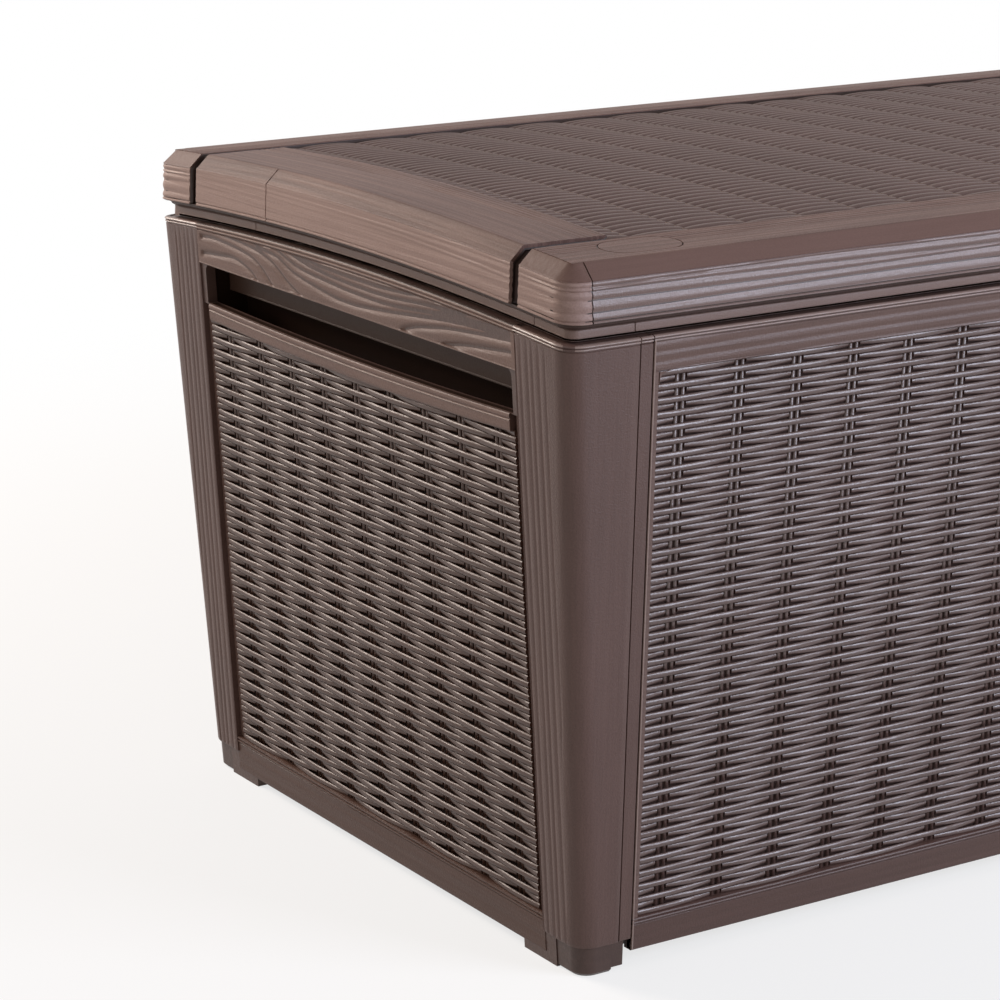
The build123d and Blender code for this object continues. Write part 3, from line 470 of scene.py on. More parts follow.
def endBeamPlace(along, row):
    # the grain is shallow towards the back, and a fine seam crosses the bevel and the fascia
    amount = blendTo(lid["endNear"], lid["endDepth"], clamped((along - lid["fadeStart"]) / lid["fadeRun"]))
    inset = lidInset(row, along, amount)
    height = topHeight(row, inset, lid["endWidth"], along)
    if abs(along - lid["seamAt"]) < lid["seamHalf"] and inset < lid["bevelInset"]:
        inset += lid["seamDepth"]
    return -halfLength + inset, along, fasciaFoot + height + crownAt(along)


def capPlace(along, row):
    # along runs from the end beam's gap, round the corner and to the front seam
    radius = lid["cornerRadius"]
    sideRun = lid["frontWidth"] - radius
    inset = lidInset(row, along, blendTo(lid["capNear"], 1.0, min(1.0, along / sideRun)))
    arc = radius * math.pi / 2
    if along <= sideRun:
        x, y = -halfLength + inset, -halfDepth + lid["frontWidth"] - along
    elif along <= sideRun + arc:
        turn = (along - sideRun) / radius
        reach = radius - inset
        x, y = -halfLength + radius - reach * math.cos(turn), -halfDepth + radius - reach * math.sin(turn)
    else:
        x, y = -halfLength + radius + along - sideRun - arc, -halfDepth + inset
    return x, y, fasciaFoot + row[1] + crownAt(y)


def nodeCopy(node):
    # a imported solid's shape as a new piece, with its triangles joined
    twin = nodes[node].copy()
    twin.data = nodes[node].data.copy()
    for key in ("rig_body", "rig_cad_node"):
        if key in twin:
            del twin[key]
    twin.parent = None
    bpy.context.collection.objects.link(twin)
    twin.hide_render = twin.hide_viewport = False
    pick(twin)
    bpy.ops.object.mode_set(mode="EDIT")
    bpy.ops.mesh.select_all(action="SELECT")
    bpy.ops.mesh.remove_doubles(threshold=0.00001)
    bpy.ops.object.mode_set(mode="OBJECT")
    return twin


def lidCore(node):
    # the imported solid, drawn in a little so that the grained skin lies over it; it is painted dark, as painted
    # shade where it shows in the lid's joints
    core = nodeCopy(node)
    gap = lid["coreGap"]
    for vertex in core.data.vertices:
        foot = (fasciaFoot + crownAt(vertex.co.y * 1000)) / 1000
        vertex.co.x *= 1 - gap / halfLength
        vertex.co.y *= 1 - gap / halfDepth
        if vertex.co.z > foot:
            vertex.co.z = foot + (vertex.co.z - foot) * (1 - gap / fasciaHeight)
    smooth(core)
    dress(core, node + "_core", lidJointShadeResin, "lid_resin", "lid", node)


plug = {"fromEnd": 100.0, "fromFront": 43.0, "length": 74.0, "width": 38.0, "gap": 1.3}


def cutPlugHole(piece, middleX):
    # opens a beam's top round its round-ended plug
    clearSelection()
    bpy.ops.mesh.primitive_cylinder_add(vertices=64, radius=(plug["width"] / 2 + plug["gap"]) * 0.001, depth=0.06)
    cutter = bpy.context.object
    straight = (plug["length"] - plug["width"]) / 2
    for vertex in cutter.data.vertices:
        vertex.co.x += math.copysign(straight * 0.001, vertex.co.x)
    cutter.location = (middleX * 0.001, (plug["fromFront"] - halfDepth) * 0.001, edgeTop * 0.001)
    applyPlace(cutter)
    applyModifier(piece, "BOOLEAN", {"operation": "DIFFERENCE", "object": cutter, "solver": "EXACT"})
    bpy.data.objects.remove(cutter)


def onFascia(point):
    return point.z - crownAt(point.y) < fasciaFoot + lid["bevelHeight"]


# faces of the lid's bevel, which get the darker painted shade
def onShadedBevel(point):
    level = point.z - crownAt(point.y) - fasciaFoot
    return lid["bevelHeight"] + 0.5 < level < fasciaHeight - 0.3


beamHalf = halfLength - lid["capWrap"] - lid["seam"]
wholeRows = fasciaRows + bevelRows + topRows(lid["frontWidth"])
frontBeam = reliefSkin(spread(-beamHalf, beamHalf, 150), wholeRows, longBeamPlace, (0, -1, 1), 3.0)
dress(frontBeam, "lid_front_beam_skin", lidTopResin, "lid_resin", "lid")
paintWhere(frontBeam, fasciaResin, onFascia)
# painted shade on the bevel
paintWhere(frontBeam, bevelShadeResin, onShadedBevel)
toBack(frontBeam, "lid_back_beam_skin")
for side in (-1, 1):
    cutPlugHole(frontBeam, side * (halfLength - plug["fromEnd"]))
smooth(frontBeam)
endRows = fasciaRows + bevelRows + topRows(lid["endWidth"])
endHalf = halfDepth - lid["frontWidth"] - lid["gap"]
seamEdges = [lid["seamAt"] + offset for offset in (-0.8, -0.4, 0.4, 0.8)]
leftBeam = reliefSkin(sorted(spread(-endHalf, endHalf, 90) + seamEdges), endRows, endBeamPlace, (-1, 0, 1), 3.0)
dress(leftBeam, "left_lid_beam_skin", lidEndResin, "lid_resin", "lid")
# painted light on the end's fascia
paintWhere(leftBeam, endFasciaLitResin, onFascia)
toRight(leftBeam, "right_lid_beam_skin")
capRun = lid["frontWidth"] - lid["cornerRadius"] + lid["cornerRadius"] * math.pi / 2
capRun += lid["capWrap"] - lid["cornerRadius"]
arcStart = lid["frontWidth"] - lid["cornerRadius"]
arcEnd = arcStart + lid["cornerRadius"] * math.pi / 2
capAlongs = spread(0.0, arcStart, 12)[:-1] + spread(arcStart, arcEnd, 12)[:-1] + spread(arcEnd, capRun, 2)
cap = reliefSkin(capAlongs, fasciaRows + bevelRows[:-1], capPlace, (-1, -1, 1), 3.0)
dress(cap, "lid_front_left_cap_skin", lidEndResin, "lid_resin", "lid")
# painted light on the cap's fascia
paintWhere(cap, endFasciaLitResin, onFascia)
# painted shade on the cap's bevel
paintWhere(cap, bevelShadeResin, onShadedBevel)
toOtherCorners(cap, "lid_", "_cap_skin")
beamEndRows = [(lid["bevelInset"] + 0.6, fasciaHeight - 0.4)] + topRows(lid["frontWidth"])
beamEnd = reliefSkin(spread(beamHalf, halfLength - lid["bevelInset"] - 0.6, 4), beamEndRows, longBeamPlace,
                     (0, 0, 1), 3.0)
dress(beamEnd, "lid_front_beam_right_end_skin", lidTopResin, "lid_resin", "lid")
toRight(beamEnd, "lid_front_beam_left_end_skin")
toBack(beamEnd, "lid_back_beam_right_end_skin")
mirroredCopy(beamEnd, "lid_back_beam_left_end_skin", True, True)
for nodeName in ("lid_front_beam", "lid_back_beam", "left_lid_beam", "right_lid_beam", "lid_front_left_cap",
                 "lid_front_right_cap", "lid_back_left_cap", "lid_back_right_cap"):
    lidCore(nodeName)

neck = {
    "radius": 10.0, "inset": 10.5, "back": 322.0, "underDrop": 6.2, "gapDrop": 13.6,
    "endSeams": (170.0, -289.0), "frontSeam": -577.0, "seamWidth": 0.5, "seamDepth": 0.8,
    # inset from the lid's edge and drop below the fascia
    "rows": ((2.2, -0.2), (2.3, 1.0), (3.0, 1.3), (3.5, 1.9), (3.6, 2.6), (5.0, 3.6), (8.0, 5.2), (10.5, 6.1),
             (10.9, 6.6), (10.6, 6.9), (10.5, 7.4), (10.5, 10.0), (10.5, 12.5), (10.2, 12.8), (10.2, 13.2),
             (10.6, 13.5), (11.2, 13.7), (11.3, 15.3)),
}
neckStart = neck["back"] + halfDepth - neck["inset"] - neck["radius"]
neckArc = neck["radius"] * math.pi / 2


def neckPlace(along, row):
    # along runs from the back of an end, round the corner to the middle of the front
    inset, drop = row
    radius, start, arc = neck["radius"], neckStart, neckArc
    x, y = -halfLength + inset, neck["back"] - along
    if along > start + arc:
        x = -halfLength + neck["inset"] + radius + along - start - arc
        y = -halfDepth + inset
    elif along > start:
        turn = (along - start) / radius
        reach = radius + neck["inset"] - inset
        x = -halfLength + neck["inset"] + radius - reach * math.cos(turn)
        y = -halfDepth + neck["inset"] + radius - reach * math.sin(turn)
    onSeam = (along < start and any(abs(y - seam) < neck["seamWidth"] for seam in neck["endSeams"])
              or along > start + arc and abs(x - neck["frontSeam"]) < neck["seamWidth"])
    if onSeam and neck["underDrop"] < drop < neck["gapDrop"]:
        if along < start:
            x += neck["seamDepth"]
        else:
            y += neck["seamDepth"]
    return x, y, fasciaFoot + crownAt(y) - drop


neckSeams = [neck["back"] - seam for seam in neck["endSeams"]]
neckSeams.append(neckStart + neckArc + neck["frontSeam"] + halfLength - neck["inset"] - neck["radius"])
neckAlongs = spread(0.0, neckStart, 50) + spread(neckStart, neckStart + neckArc, 10)[1:]
neckEnd = neckStart + neckArc + halfLength - neck["inset"] - neck["radius"]
neckAlongs += spread(neckStart + neckArc, neckEnd, 60)[1:]
neckAlongs += [seam + step for seam in neckSeams for step in (-0.7, -0.3, 0.3, 0.7)]
leftNeck = reliefSkin(sorted(neckAlongs), neck["rows"], neckPlace, (-1, -1, 0), 0.6)
dress(leftNeck, "left_neck_skin", linerResin, "inner_resin", "lid")


def neckDrop(point):
    return fasciaFoot + crownAt(point.y) - point.z


# painted shade on the neck's top rows, under the fascia
paintWhere(leftNeck, underLidShadeResin, lambda point: neckDrop(point) < neck["underDrop"])
# painted shadow on the neck's lowest rows, for the dark gap above the rim
paintWhere(leftNeck, lidGapShadowResin, lambda point: neckDrop(point) > neck["gapDrop"])
toRight(leftNeck, "right_neck_skin")
print("lid beams, caps and neck ready")


weave = {
    "stakePitch": 59.1, "rowPitch": 5.87, "endGap": 6.2, "halfHeight": 2.75, "halfThick": 1.8,
    "middleInset": 2.5, "endInset": 6.3, "rodRadius": 2.2, "rodOffset": 3.2, "rodInset": 7.0,
    "lengthCuts": 7, "sides": 7, "tipShare": 0.12, "tipPower": 12, "rodRound": 0.5, "topGap": 2.2, "shift": 0.0,
}
sectionAngles = (-90, -52, -12, 28, 65, 90, 180)   # round one strand, 0 faces outwards


def strandPiece(values):
    # one bowed strand over one stake: x along it, y is its depth, z across
    length = 2 * (values["stakePitch"] - values["endGap"])
    clearSelection()
    bpy.ops.mesh.primitive_cylinder_add(vertices=values["sides"], radius=1, depth=length,
                                        rotation=(0, math.pi / 2, 0))
    applyPlace(bpy.context.object)
    strand = bpy.context.object
    bpy.ops.object.mode_set(mode="EDIT")
    mesh = bmesh.from_edit_mesh(strand.data)
    for edge in mesh.edges:
        edge.select_set(abs(edge.verts[0].co.x - edge.verts[1].co.x) > length / 2)
    bmesh.update_edit_mesh(strand.data)
    bpy.ops.mesh.subdivide(number_cuts=values["lengthCuts"])
    bpy.ops.object.mode_set(mode="OBJECT")
    start = min(math.atan2(v.co.z, -v.co.y) for v in strand.data.vertices)
    for vertex in strand.data.vertices:
        turn = math.atan2(vertex.co.z, -vertex.co.y) - start
        angle = math.radians(sectionAngles[round(turn / (2 * math.pi) * values["sides"]) % values["sides"]])
        share = abs(vertex.co.x) / (length / 2)
        inset = blendTo(values["middleInset"], values["endInset"], share ** 2)
        tip = 1 - values["tipShare"] * share ** values["tipPower"]
        vertex.co.y = inset - values["halfThick"] * tip * math.cos(angle)
        vertex.co.z = values["halfHeight"] * tip * math.sin(angle)
    return strand


def wovenField(values, place):
    # strands in alternate rows over alternate stakes, repeated along and up, and cut at the field's edges
    halfWidth, low, high = values["half"], values["low"], values["high"]
    stakes = int(halfWidth // values["stakePitch"]) + 1
    stakes += stakes % 2
    rowCount = int((high - low) / (2 * values["rowPitch"])) + 2
    first = strandPiece(values)
    second = first.copy()
    second.data = first.data.copy()
    bpy.context.collection.objects.link(second)
    pitch, rowStep = values["stakePitch"], values["rowPitch"]
    for piece, shiftX, shiftZ in ((first, -(stakes - 1) * pitch, high - values["topGap"]),
                                  (second, -stakes * pitch, high - values["topGap"] - rowStep)):
        for vertex in piece.data.vertices:
            vertex.co.x += shiftX + values["shift"]
            vertex.co.z += shiftZ
    pick(first)
    second.select_set(True)
    bpy.ops.object.join()
    field = first
    repeated(field, stakes + 1, (2 * pitch, 0, 0))
    repeated(field, rowCount, (0, 0, -2 * rowStep))
    pick(field)
    bpy.ops.object.mode_set(mode="EDIT")
    for point, normal in (((halfWidth, 0, 0), (1, 0, 0)), ((-halfWidth, 0, 0), (-1, 0, 0)),
                          ((0, 0, high), (0, 0, 1)), ((0, 0, low), (0, 0, -1))):
        bpy.ops.mesh.select_all(action="SELECT")
        bpy.ops.mesh.bisect(plane_co=point, plane_no=normal, use_fill=True, clear_outer=True)
    bpy.ops.object.mode_set(mode="OBJECT")
    for vertex in field.data.vertices:
        vertex.co = Vector(place(vertex.co.x, vertex.co.z, vertex.co.y)) * 0.001
    field.data.update()
    smooth(field, 50)
    return field


def stakeRods(values, place):
    # pairs of rods that the strands pass over
    clearSelection()
    low, high = values["low"], values["high"]
    stakes = int(values["half"] // values["stakePitch"])
    bpy.ops.mesh.primitive_cylinder_add(vertices=8, radius=values["rodRadius"], depth=high - low,
                                        location=(-stakes * values["stakePitch"] - values["rodOffset"],
                                                  values["rodInset"], (high + low) / 2))
    rods = bpy.context.object
    applyPlace(rods)
    applyModifier(rods, "BEVEL", {"width": values["rodRound"], "segments": 1, "limit_method": "ANGLE",
                                  "angle_limit": math.radians(60)})
    repeated(rods, 2, (2 * values["rodOffset"], 0, 0))
    repeated(rods, 2 * stakes + 1, (values["stakePitch"], 0, 0))
    for vertex in rods.data.vertices:
        vertex.co = Vector(place(vertex.co.x, vertex.co.z, vertex.co.y)) * 0.001
    rods.data.update()
    smooth(rods, 50)
    return rods


def frontPlace(along, height, inset):
    return along, -bodyHalf(height, -inset)[1], height


def leftPlace(along, height, inset):
    return -bodyHalf(height, -inset)[0], along, height


def deckPlace(along, across, inset):
    return along, across, edgeTop + crownAt(across) - inset


def fieldWith(**changes):
    return {**weave, **changes}


longValues = fieldWith(half=556.0, low=43.0, high=520.0)
longField = wovenField(longValues, frontPlace)
dress(longField, "front_weave", weaveResin, "woven_resin", "root", "front_woven_field")
toBack(longField, "back_weave", "back_woven_field")
longRods = stakeRods(longValues, frontPlace)
dress(longRods, "front_stakes", weaveResin)
toBack(longRods, "back_stakes")
endValues = fieldWith(stakePitch=57.5, half=261.0, low=41.0, high=464.5)
endField = wovenField(endValues, leftPlace)
dress(endField, "left_weave", endWeaveResin, "woven_resin", "root", "left_woven_field")
toRight(endField, "right_weave", "right_woven_field")
endRods = stakeRods(endValues, leftPlace)
dress(endRods, "left_stakes", endWeaveResin)
toRight(endRods, "right_stakes")

# the deck's strands are as long as a space between cross bars, and each space's rows lie half a step from the next's
deckValues = fieldWith(topGap=3.0, stakePitch=59.2, rowPitch=5.925, middleInset=4.3, endInset=5.8,
                       halfThick=2.4, halfHeight=4.9, endGap=29.2, shift=29.6, half=555.0, low=-279.6, high=279.6,
                       groundDrop=3.4, topDepth=6.0, ribHalf=1.2, ribInset=3.9, ribEnd=279.0, ribs=19)
deckField = wovenField(deckValues, deckPlace)
dress(deckField, "lid_deck_weave", deckResin, "lid_resin", "lid")


def deckRibPlace(column, across):
    # one of the thin cross bars that show between the strands where they dip
    offset, inset = column
    return deckPlace(-(deckValues["ribs"] - 1) / 2 * deckValues["stakePitch"] + offset, across, inset)


ribColumns = [(side * deckValues["ribHalf"], deckValues["ribInset"] + drop)
              for side, drop in ((-1, 1.2), (-0.5, 0.2), (0, 0.0), (0.5, 0.2), (1, 1.2))]
ribRows = spread(-deckValues["ribEnd"], deckValues["ribEnd"], 24)
deckRibs = reliefSkin(ribColumns, ribRows, deckRibPlace, (0, 0, 1), 0.8)
repeated(deckRibs, deckValues["ribs"], (deckValues["stakePitch"] * 0.001, 0, 0))
# the cross bars in the lighter resin, painted highlight
dress(deckRibs, "lid_deck_ribs", deckRibHighlightResin, "lid_resin", "lid")
# the deck's solid, lowered under the strands and painted dark as shade between them
deckGround = nodeCopy("lid_deck")
for vertex in deckGround.data.vertices:
    if vertex.co.z * 1000 > edgeTop + crownAt(vertex.co.y * 1000) - deckValues["topDepth"]:
        vertex.co.z -= deckValues["groundDrop"] * 0.001
smooth(deckGround)
dress(deckGround, "lid_deck_shade_ground", deckGroundShadeResin, "lid_resin", "lid", "lid_deck")
print("weave ready")


# dark sheets behind the woven fields, painted shade for the recesses between the strands
ground = {"long": {"half": 562.0, "low": 41.0, "high": 521.0}, "end": {"half": 272.5, "low": 36.0, "high": 462.0},
          "inset": 6.8}


def shadeGroundSkin(values, place, outward):
    return reliefSkin(spread(-values["half"], values["half"], 8), spread(values["low"], values["high"], 24),
                      lambda along, height: place(along, height, ground["inset"]), outward, 1.0)


frontShadeGround = shadeGroundSkin(ground["long"], frontPlace, (0, -1, 0))
dress(frontShadeGround, "front_shade_ground", longGroundShadeResin)
toBack(frontShadeGround, "back_shade_ground")
leftShadeGround = shadeGroundSkin(ground["end"], leftPlace, (-1, 0, 0))
dress(leftShadeGround, "left_shade_ground", endGroundShadeResin)
toRight(leftShadeGround, "right_shade_ground")


post = {"sideWidth": 80.0, "frontWidth": 73.0, "out": 0.8, "fluteDepth": 0.8, "flutePower": 1.3, "fluteFade": 3.0,
        "grooves": (271.0, 279.0, 289.0, 296.0, 305.5, 315.0),   # fluting on the side face, from the box's middle
        "foot": 27.4, "beadLow": 543.6, "riseFrom": 440.0, "riseRun": 100.0,
        # strip between the post's face and the front panel: distance past the face and inset
        "strip": ((0.0, 0.4), (0.1, 2.6), (0.9, 2.6), (1.0, 0.9), (1.3, 0.5), (7.0, 0.5), (12.6, 0.5), (13.0, 0.9),
                  (13.1, 3.2))}
# height and inset of the rolled edge that the posts and the top rails share
beadRows = [(543.6, 0.0), (544.0, 0.6), (544.3, 1.3), (544.8, 1.3), (545.0, 0.4), (545.3, -0.3), (545.9, -0.6),
            (546.4, -0.3), (546.6, 0.4), (546.8, 1.0), (547.2, 1.0), (547.4, 0.2), (547.8, -0.5), (548.4, -0.8),
            (549.0, -0.5), (549.6, 0.4), (549.9, 1.5), (550.0, 3.0), (549.6, 4.4)]
postColumns = ([("edge", 5.5), ("edge", 1.2), ("edge", 0.4)]
               + [("side", share) for share in spread(0, 1, 60)[:-1]]
               + [("corner", share) for share in spread(0, 1, 12)[:-1]]
               + [("front", share) for share in spread(0, 1, 6)]
               + [("strip", place) for place in post["strip"]])


def onBeadHighlight(point):
    # rolled edge along the body's top, which follows the lid's crown; its faces get the lighter painted highlight
    lean = bodyHalf(point.z, 0)
    out = max(abs(point.x) - lean[0], abs(point.y) - lean[1])
    level = point.z - crownAt(point.y)
    return out > -1.6 and (level > 547.3 or 544.9 < level < 546.7)


def fluteDepthAt(along, height):
    away = abs(along)
    for low, high in zip(post["grooves"], post["grooves"][1:]):
        if low <= away <= high:
            wave = (1 - math.sin(math.pi * (away - low) / (high - low))) ** post["flutePower"]
            return post["fluteDepth"] * wave * clamped((post["beadLow"] - height) / post["fluteFade"])
    return 0.0


def postPlace(column, row):
    part, share = column
    height, inset = row
    radius = body["cornerRadius"] + post["out"]
    halfX, halfY = bodyHalf(height, post["out"] - inset)
    reach = radius - inset
    sideEdge, frontEdge = -halfDepth + post["sideWidth"], -halfLength + post["frontWidth"]
    if part == "edge":
        x, y = -halfX + share, sideEdge
    elif part == "side":
        y = blendTo(sideEdge - 0.4, -halfY + reach, share)
        x = -halfX + fluteDepthAt(y, height)
    elif part == "corner":
        turn = share * math.pi / 2
        x, y = -halfX + reach - reach * math.cos(turn), -halfY + reach - reach * math.sin(turn)
    elif part == "front":
        x, y = blendTo(-halfX + reach, frontEdge - 0.6, share), -halfY
    else:
        x, y = frontEdge + share[0], -halfY + share[1]
    rise = crownAt(y) * clamped((height - post["riseFrom"]) / post["riseRun"])
    return x, y, height + rise


postRows = [(post["foot"], 1.0), (post["foot"] + 0.4, 0.3), (post["foot"] + 1.2, 0.0)]
postRows += [(height, 0.0) for height in spread(32.0, 543.0, 40)] + beadRows
frontPost = reliefSkin(postColumns, postRows, postPlace, (-1, -1, 0), 1.4)
dress(frontPost, "front_left_post_skin", postResin, "moulded_resin", "root")
# painted highlight on the post's rolled edge
paintWhere(frontPost, beadHighlightResin, onBeadHighlight)
toOtherCorners(frontPost, "", "_post_skin")
print("posts ready")


rails = {"inset": 0.5, "grainDepth": 0.7, "footShare": 0.3, "longHalf": 562.6, "endHalf": 271.0, "endLow": 517.0,
         "wavePower": 1.6,
         # pitch of the grain's lines, how far they drift and over what length
         "longWave": (1.35, 2.2, 170.0), "endWave": (2.4, 1.2, 150.0)}


def railWave(height, along, pitch, drift, run):
    return (math.sin(height / pitch + drift * math.sin(along / run)) * 0.5 + 0.5) ** rails["wavePower"]


def longRailPlace(along, row):
    height, inset = row
    inside = 0.0 if inset else 1.0 if height > 500 else rails["footShare"]
    depth = rails["grainDepth"] * railWave(height, along, *rails["longWave"]) * inside
    halfY = bodyHalf(height, -rails["inset"] - inset - depth)[1]
    rise = crownAt(halfY) * (height > 540)
    return along, -halfY, height + rise


topRailRows = [(519.2, 5.5), (519.2, 2.0), (519.5, 0.9), (520.4, 0.1)]
topRailRows += [(height, 0.0) for height in spread(521.2, 543.6, 30)] + beadRows
frontRail = reliefSkin(spread(-rails["longHalf"], rails["longHalf"], 100), topRailRows, longRailPlace,
                       (0, -1, 0), 2.0)
dress(frontRail, "front_top_rail_skin", railResin)
# painted highlight on the rail's rolled edge
paintWhere(frontRail, beadHighlightResin, onBeadHighlight)
toBack(frontRail, "back_top_rail_skin")
footRailRows = [(15.8, 2.0), (16.0, 0.8), (16.8, 0.1)]
footRailRows += [(height, 0.0) for height in spread(17.6, 38.4, 28)]
footRailRows += [(38.8, 0.3), (39.2, 1.0), (39.6, 0.6), (40.0, -0.3), (40.8, -0.7), (41.6, -0.3), (41.9, 0.5),
                 (42.3, 0.9), (42.7, 0.4), (43.2, -0.5), (44.0, -0.9), (45.0, -0.4), (45.6, 1.2), (45.9, 3.0),
                 (46.0, 6.0)]
frontFootRail = reliefSkin(spread(-rails["longHalf"], rails["longHalf"], 100), footRailRows, longRailPlace,
                           (0, -1, 0), 2.0)
# the long bottom rail in the darker copy, painted shade
dress(frontFootRail, "front_bottom_rail_skin", footRailShadeResin)
toBack(frontFootRail, "back_bottom_rail_skin")


def stilePlace(column, height):
    along, inset = column
    return -rails["longHalf"] + along, -bodyHalf(height, -inset)[1], height


stileColumns = [(0.0, 6.9), (0.0, 1.0), (0.3, 0.6), (5.3, 0.6), (5.9, 1.0), (6.3, 2.0), (6.6, 6.9)]
frontStile = reliefSkin(stileColumns, spread(42.0, 520.0, 4), stilePlace, (0, -1, 0), 1.0)
dress(frontStile, "front_left_stile", railResin)
toOtherCorners(frontStile, "", "_stile")

edgeColumns = [(0.0, 6.9), (0.0, 0.5), (0.3, -0.1), (0.9, -0.35), (1.5, -0.1), (1.8, 0.8)]
frontEdge = reliefSkin(edgeColumns, spread(17.0, 546.0, 6), stilePlace, (0, -1, 0), 0.6)
# the panel's edge line in the lighter resin, painted highlight
dress(frontEdge, "front_left_panel_edge", beadHighlightResin)
toOtherCorners(frontEdge, "", "_panel_edge")

fieldCorner = {"radius": 11.0, "middle": (-545.2, 508.2)}


def cornerPlace(turn, row):
    # web that rounds an upper corner of a woven field
    share, inset = row
    radius = fieldCorner["radius"]
    across, up = math.cos(turn), math.sin(turn)
    reach = blendTo(radius, radius / max(across, up), share)
    x, z = fieldCorner["middle"][0] - reach * across, fieldCorner["middle"][1] + reach * up
    return x, -bodyHalf(z, -inset)[1], z


cornerRows = [(0.0, 6.6), (0.0, 1.8), (0.1, 1.1), (0.35, 0.6), (1.0, 0.45)]
cornerWeb = reliefSkin(spread(0.0, math.pi / 2, 12), cornerRows, cornerPlace, (0, -1, 0), 0.6)
dress(cornerWeb, "front_left_field_corner", railResin)
toOtherCorners(cornerWeb, "", "_field_corner")

grain = {
    "depth": 2.1, "widthAbove": 2.1, "widthBelow": 3.2, "crest": -0.6, "reach": 7.0,
    # valleys of the carved grain: place along the rail from its back end, and height
    "valleys": (
        ((271, 527), (222, 531), (203, 532.8), (182, 528.7), (168, 524), (158, 517), (150, 505)),
        ((271, 542.5), (242, 545), (202, 543), (166, 539), (149, 531.5), (137, 522), (128, 516), (118, 505)),
        ((271, 552), (219, 551), (183, 549), (158, 547), (134, 542), (119, 536), (105, 527), (80, 517.5), (55, 507)),
        ((210, 562), (147, 549.4), (116, 546.6), (101, 539.5), (79, 534.5), (46, 530), (13, 526.2), (-19, 526),
         (-74, 530.5), (-105, 533.5), (-159, 539), (-196, 541.5), (-225, 543), (-271, 545)),
        ((160, 566), (108, 549.6), (87, 544), (62, 541), (28, 539), (-4, 537), (-36, 536.4), (-59, 536),
         (-90, 537.4), (-137, 541.8), (-167, 544.4), (-203, 546.3), (-239, 548), (-271, 550)),
        ((140, 568), (87, 552), (61, 547.5), (28, 545), (-5, 543.6), (-50, 543), (-75, 543.3), (-122, 546.6),
         (-167, 549), (-200, 551), (-240, 556)),
        ((120, 566), (84, 555), (44, 551), (-6, 549.6), (-60, 549.5), (-107, 551.7), (-150, 558)),
        ((-84, 508), (-93, 519), (-120, 526), (-166, 533), (-195, 535.6), (-224, 538), (-271, 541)),
        ((-142, 506), (-156, 517.4), (-194, 524), (-223, 527), (-271, 531.6)),
    ),
}


def valleyHeight(valley, along):
    for (start, high), (end, low) in zip(valley, valley[1:]):
        if end <= along <= start:
            return blendTo(high, low, (start - along) / (start - end))
    return None


def grainDepthAt(along, height):
    # each valley is a soft groove, steeper on its upper side
    total = 0.0
    for valley in grain["valleys"]:
        levels = [valleyHeight(valley, along + side * grain["reach"]) for side in (-1, 0, 1)]
        if None in levels:
            continue
        away = (height - sum(levels) / 3) / math.hypot(1.0, (levels[2] - levels[0]) / (2 * grain["reach"]))
        width = grain["widthAbove"] if away > 0 else grain["widthBelow"]
        total += math.exp(-(away / width) ** 2)
    return grain["depth"] * min(1.0, total)


def endRailPlace(along, row):
    share, inset = row
    low, high = rails["endLow"], rim + crownAt(along)
    height = share if share < low + 0.6 else low + (share - low) * (high - low) / (rim - low)
    depth = grainDepthAt(along, height) if inset == 0 else 0.0
    return -bodyHalf(height, -grain["crest"] - inset - depth)[0], along, height


endRailRows = [(516.9, 6.0), (516.9, 1.6), (516.9, 0.4), (517.05, -0.2), (517.5, -0.4), (517.9, -0.2)]
endRailRows += [(height, 0.0) for height in spread(518.3, 543.2, 40)] + beadRows
leftRail = reliefSkin(spread(-rails["endHalf"], rails["endHalf"], 220), endRailRows, endRailPlace,
                      (-1, 0, 0), 1.6)
# the end rail in the lighter copy, painted light
dress(leftRail, "left_top_rail_skin", endRailLitResin)
# painted highlight on the end rail's rolled edge
paintWhere(leftRail, endBeadHighlightResin, onBeadHighlight)
# painted shade on the rail's top face, under the lid
paintWhere(leftRail, underLidShadeResin, lambda point: point.z - crownAt(point.y) > 549.3)
toRight(leftRail, "right_top_rail_skin")


lip = {"top": 479.5, "height": 16.0, "topSag": 4.5, "lowSag": 5.5, "half": 258.0, "bowHalf": 262.0, "out": 0.9}


def lipPlace(along, row):
    down, inset = row
    bow = 1 - (along / lip["bowHalf"]) ** 2
    height = lip["top"] - lip["topSag"] * bow - down * (1 + (lip["lowSag"] - lip["topSag"]) * bow / lip["height"])
    return -bodyHalf(height, lip["out"] - inset)[0], along, height


lipRows = [(-0.1, 9.0), (-0.1, 3.4), (-0.1, 2.2), (0.2, 1.2), (0.8, 0.5), (1.7, 0.1), (3.4, 0.0), (4.2, 0.3),
           (4.6, 0.9), (5.4, 1.0), (5.8, 0.4), (6.3, 0.0), (7.0, 0.25), (8.2, 0.4), (11.0, 0.4), (14.0, 0.45),
           (15.2, 0.8), (15.8, 1.6), (16.0, 6.5)]
leftLip = reliefSkin(spread(-lip["half"], lip["half"], 60), lipRows, lipPlace, (-1, 0, 0), 0.7)
# the lip in the lighter copy, painted light
dress(leftLip, "left_lip_skin", endRailLitResin)
# painted shade on the lip's top face where it runs back into the pocket
paintWhere(leftLip, pocketShadeResin, lambda point: bodyHalf(point.z, lip["out"])[0] + point.x > 3.4)
toRight(leftLip, "right_lip_skin")


grip = {"half": 262.0, "inset": 25.6}


def gripPlace(along, row):
    # wall of the hand pocket that the fingers press on
    height, inset = row
    return -bodyHalf(height, -grip["inset"] - inset)[0], along, height


